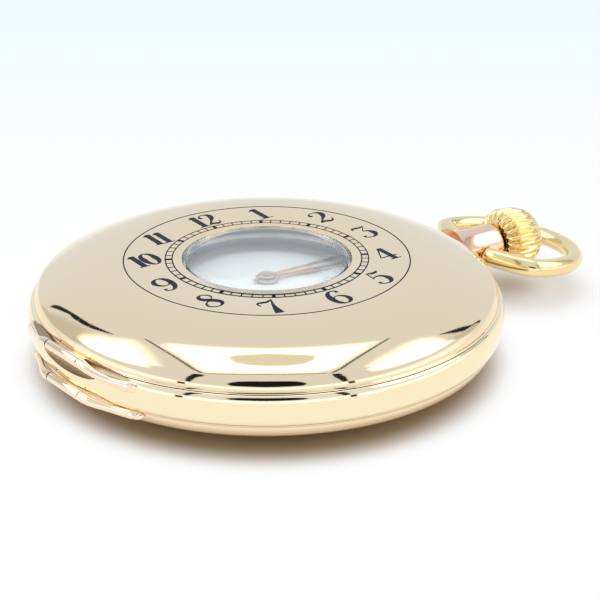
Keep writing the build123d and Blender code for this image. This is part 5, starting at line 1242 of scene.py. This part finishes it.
# name, distance, finish, share of the border, and outline in turns from the camera's side and rises
tentShapes = [
    ("roofOpening", 0.44, openingGrey, 0.12,
     [(-153, 72.2), (-158, 70.4), (180, 69.8), (160, 70), (151, 70), (144, 73), (142, 77), (152, 80.2),
      (180, 81.6), (-156, 79.8), (-148, 76.4)]),
    ("leftGlow", 4.3, glowWhite, 0.35,
     [(-137, 39), (-139.5, 44), (-141.5, 48.2), (-145.7, 52), (-142.5, 56.5), (-132.4, 62), (-117.8, 66),
      (-66, 44), (-60, 34), (-67, 21), (-80, 18), (-92, 19), (-104, 26), (-118, 33), (-129, 37)]),
    ("rightGlow", 4.3, glowWhite, 0.3,
     [(50.1, 26.3), (54.5, 41.6), (66.4, 56.3), (92, 64), (113, 67.3), (119.9, 67), (129.3, 63),
      (135, 58), (139.5, 53), (140, 48), (137.5, 44.5), (133, 42), (126, 40), (108, 26), (84.6, 15),
      (68, 18.5), (56, 20.1), (52.7, 22)]),
    ("leftWall", 4.7, wallGrey, 0.25,
     [(-98, 8), (-98, 30), (-118, 42), (-136, 46), (-141, 40), (-144, 30), (-144, 18), (-140, 4),
      (-120, 2)]),
    ("rightWall", 4.7, wallGrey, 0.3,
     [(104, 10), (108, 30), (124, 41), (133, 42), (135.5, 36), (133, 26), (122, 8), (112, 4)]),
    ("leftSeam", 4.5, seamDark, 0.5,
     [(-145.0, 22.2), (-145.7, 23.8), (-145.9, 25.9), (-144.9, 29.9), (-142.3, 34.1), (-140.9, 37.7),
      (-140.0, 41.1), (-140.3, 44.2), (-140.7, 46.9), (-141.4, 46.7), (-141.6, 43.9), (-142.1, 40.8),
      (-143.6, 37.4), (-144.9, 33.8), (-145.9, 29.6), (-146.5, 25.6), (-146.1, 23.4)]),
    ("rightSeam", 4.5, seamDark, 0.5,
     [(135.5, 43.4), (135.6, 39.6), (136.2, 35.1), (133.8, 30.6), (128, 21), (122, 12), (122.6, 11),
      (129.5, 20.5), (135.6, 29.6), (136.9, 35.0), (136.2, 39.5), (135.8, 43.3)]),
    ("frontOpening", 4.2, seamDark, 0.5,
     [(-19, 20.5), (-16.5, 16.4), (0, 15.6), (16, 16.4), (18.8, 20), (17.5, 25), (13.5, 30.5), (6, 33.5),
      (0, 34), (-6, 33.5), (-13.3, 30.5), (-17.8, 25)]),
    ("leftPost", 4.2, seamDark, 0.5,
     [(-62, 66), (-49.4, 58.6), (-39.3, 32), (-38.5, 22), (-38.3, 15.5), (-35.8, 14.5), (-35.4, 22),
      (-34.9, 30), (-37.3, 48), (-55, 68)]),
    ("rightPost", 4.2, seamDark, 0.5,
     [(58, 68), (39, 50), (33.3, 31), (34.3, 21.1), (34.9, 14.5), (37.5, 14.3), (37.4, 21), (37.2, 30),
      (41.3, 46.7), (62, 66.9)]),
    ("leftFoot", 4.2, seamDark, 0.5, [(-37.6, 10), (-41.6, 10), (-41.2, 0.3), (-37.4, 0.3)]),
    ("rightFoot", 4.2, seamDark, 0.5, [(37, 12), (40.4, 12), (40.2, 0.3), (37, 0.3)]),
]


def addFrontWall():
    # fades out upward and at both ends
    columns, low, high = frontWall["columns"], frontWall["lowRise"], frontWall["highRise"]
    corners, faces, glow = [], [], []
    for index in range(columns + 1):
        turn = frontWall["turn"] * (2 * index / columns - 1)
        ends = min(1.0, min(index, columns - index) / columns / frontWall["endShare"])
        for rise, value in ((low, 1.0), ((low + high) / 2, 1.0), (high, 0.0)):
            corners.append(towards(turn, rise, frontWall["distance"]))
            glow.append(value * ends)
    for index in range(columns):
        for first in (index * 3, index * 3 + 1):
            faces.append((first, first + 3, first + 4, first + 1))
    return hangSheet("frontWall", corners, faces, glow, wallBright)


def addRoofPanel():
    # white sheet overhead, paler towards its seams and bowed at the back
    front, middle, back = tent["roofFront"], tent["roofMiddle"], tent["roofBack"]
    corners, glow, faces = [], [], []
    for share in tent["along"]:
        for side in tent["across"]:
            half = tent["frontHalf"] + (tent["backHalf"] - tent["frontHalf"]) * share
            end = middle + (back - middle) * side ** 2
            corners.append(onStage(side * half, front + (end - front) * share, tent["roof"]))
            border = abs(side) == 1 or share == 0
            glow.append(0.0 if share == 1 else tent["borderGlow"] if border else 1.0)
    count = len(tent["across"])
    for row in range(len(tent["along"]) - 1):
        for column in range(count - 1):
            first = row * count + column
            faces.append((first, first + 1, first + count + 1, first + count))
    return hangSheet("roofPanel", corners, faces, glow, panelWhite)


def addSeams():
    # dark edges of the roof: one across its front, one down each side
    level, seam = tent["roof"] - tent["seamDrop"], tent["seam"]
    front, back, near, far = tent["roofFront"], tent["roofBack"], tent["frontHalf"], tent["backHalf"]
    ahead = front - tent["frontSeamShare"] * seam
    nearWide, farWide = (share * seam for share in tent["sideSeamShares"])
    seams = [("roofSeam", [(-near, ahead), (near, ahead), (near, front), (-near, front)])]
    for side in (-1, 1):
        seams.append(("sideSeam", [
            (side * near, front - seam), (side * (near + nearWide), front - seam),
            (side * (far + farWide), back), (side * far, back)]))
    for name, outline in seams:
        corners = [onStage(right, away, level) for right, away in outline]
        hangSheet(name, corners, [(0, 1, 2, 3)], [1.0] * 4, seamDark)


def buildTent():
    addRoofPanel()
    addSeams()
    for name, distance, material, border, outline in tentShapes:
        addSkyShape(name, outline, distance, material, border)
    addFrontWall()


buildTent()


# floor, in metres: radii of the watch's shadow and of the painted brown shadow in it, the patch under bow and
# crown, and the distances behind the watch over which the backdrop turns bluer
floorLight = {
    "size": 8.0, "shadow": (0.0216, 0.0276), "paintedShadowRadii": (0.0235, 0.0265), "patch": (0.003, 0.0125),
    "patchPlace": (0.0345, -0.001, 0), "backdrop": (0.01, 0.17),
    "nearWhite": (1.0, 1.0, 1.0), "farWhite": (0.86, 0.955, 0.98),
    # painted shadow: the floor's own colour is brown right under the rim and a little grey elsewhere near the
    # watch, deepening its real shadow
    "paintedShadowBrown": (0.52, 0.41, 0.28), "ground": (0.84, 0.83, 0.82),
}


def floorFinish():
    # near the watch the floor takes its shadow; further off it is the plain pale backdrop
    material = bpy.data.materials.new("floorWhite")
    material.use_nodes = True
    nodes, links = material.node_tree.nodes, material.node_tree.links
    shader = nodes["Principled BSDF"]
    shader.inputs["Roughness"].default_value = 0.9
    shader.inputs["Specular IOR Level"].default_value = 0.0
    place = nodes.new("ShaderNodeTexCoord")

    def measure(operation, limits, other=(0, 0, 0)):
        # a smooth climb between two values of one measure of the place on the floor
        ruler = nodes.new("ShaderNodeVectorMath")
        ruler.operation = operation
        ruler.inputs[1].default_value = other
        links.new(place.outputs["Object"], ruler.inputs[0])
        climb = fadeBetween(nodes, *limits)
        links.new(ruler.outputs["Value"], climb.inputs["Value"])
        return climb.outputs["Result"]

    def combine(operation, first, second):
        node = addMath(nodes, operation)
        links.new(first, node.inputs[0])
        links.new(second, node.inputs[1])
        return node.outputs[0]

    colour = blendColours(nodes, floorLight["nearWhite"], floorLight["farWhite"])
    links.new(measure("DOT_PRODUCT", floorLight["backdrop"], awayWay), colour.inputs["Factor"])
    glow = nodes.new("ShaderNodeEmission")
    links.new(colour.outputs["Result"], glow.inputs["Color"])
    # the bow and crown have a shadow patch of their own
    ring = measure("LENGTH", floorLight["shadow"])
    patch = measure("DISTANCE", floorLight["patch"], floorLight["patchPlace"])
    lit = combine("MULTIPLY", ring, patch)
    # painted shadow: right under the rim the floor's own colour turns brown, standing in for the shade there
    # and the golden light thrown on it by the rim
    ground = blendColours(nodes, floorLight["paintedShadowBrown"], floorLight["ground"])
    links.new(measure("LENGTH", floorLight["paintedShadowRadii"]), ground.inputs["Factor"])
    links.new(ground.outputs["Result"], shader.inputs["Base Color"])
    path = nodes.new("ShaderNodeLightPath")
    seen = combine("MAXIMUM", path.outputs["Is Camera Ray"], path.outputs["Is Glossy Ray"])
    through = combine("MAXIMUM", seen, path.outputs["Is Transmission Ray"])
    choose = nodes.new("ShaderNodeMixShader")
    links.new(combine("MULTIPLY", lit, through), choose.inputs[0])
    links.new(shader.outputs[0], choose.inputs[1])
    links.new(glow.outputs[0], choose.inputs[2])
    links.new(choose.outputs[0], nodes["Material Output"].inputs["Surface"])
    return material


deselectAll()
bpy.ops.mesh.primitive_plane_add(size=floorLight["size"], location=(0, 0, 0))
floor = rename(bpy.context.object, "floor")
floor.data.materials.append(floorFinish())


def buildWorld():
    world = bpy.data.worlds.new("studio")
    bpy.context.scene.world = world
    world.use_nodes = True
    nodes, links = world.node_tree.nodes, world.node_tree.links
    background = nodes["Background"]
    # a little bluer where polished metal mirrors it
    path = nodes.new("ShaderNodeLightPath")
    tone = blendColours(nodes, (0.86, 0.88, 0.90), (0.78, 0.86, 0.96))
    links.new(path.outputs["Is Glossy Ray"], tone.inputs["Factor"])
    links.new(tone.outputs["Result"], background.inputs["Color"])
    background.inputs["Strength"].default_value = 1.0


buildWorld()

softbox = {"place": (0.05, 0.12, 0.55), "size": 0.6, "power": 1.2}
bpy.ops.object.light_add(type="AREA", location=softbox["place"])
light = rename(bpy.context.object, "topSoftbox")
light.data.size = softbox["size"]
light.data.energy = softbox["power"]
light.visible_glossy = False
light.rotation_euler = Vector(softbox["place"]).to_track_quat("Z", "Y").to_euler()

bpy.context.scene.view_settings.view_transform = "Standard"
print("stage ready")

# carried-over solids keep their shape and take a finish
slotFinish = {
    "case_gold": "innerGold", "rose_gold": "roseGold", "yellow_gold": "crownGold", "crystal": "crystal",
    "enamel": "dialEnamel", "nickel": "nickelPlate", "wheel_brass": "gearBrass", "steel": "groundSteel",
    "blued_steel": "bluedSteel", "ruby": "ruby",
}
for entry in frame["record"]["subparts"]:
    node = frame["nodes"][entry["node"]]
    for index in range(len(node.material_slots)):
        node.material_slots[index].material = finishes[slotFinish[entry["material_slot"]]]
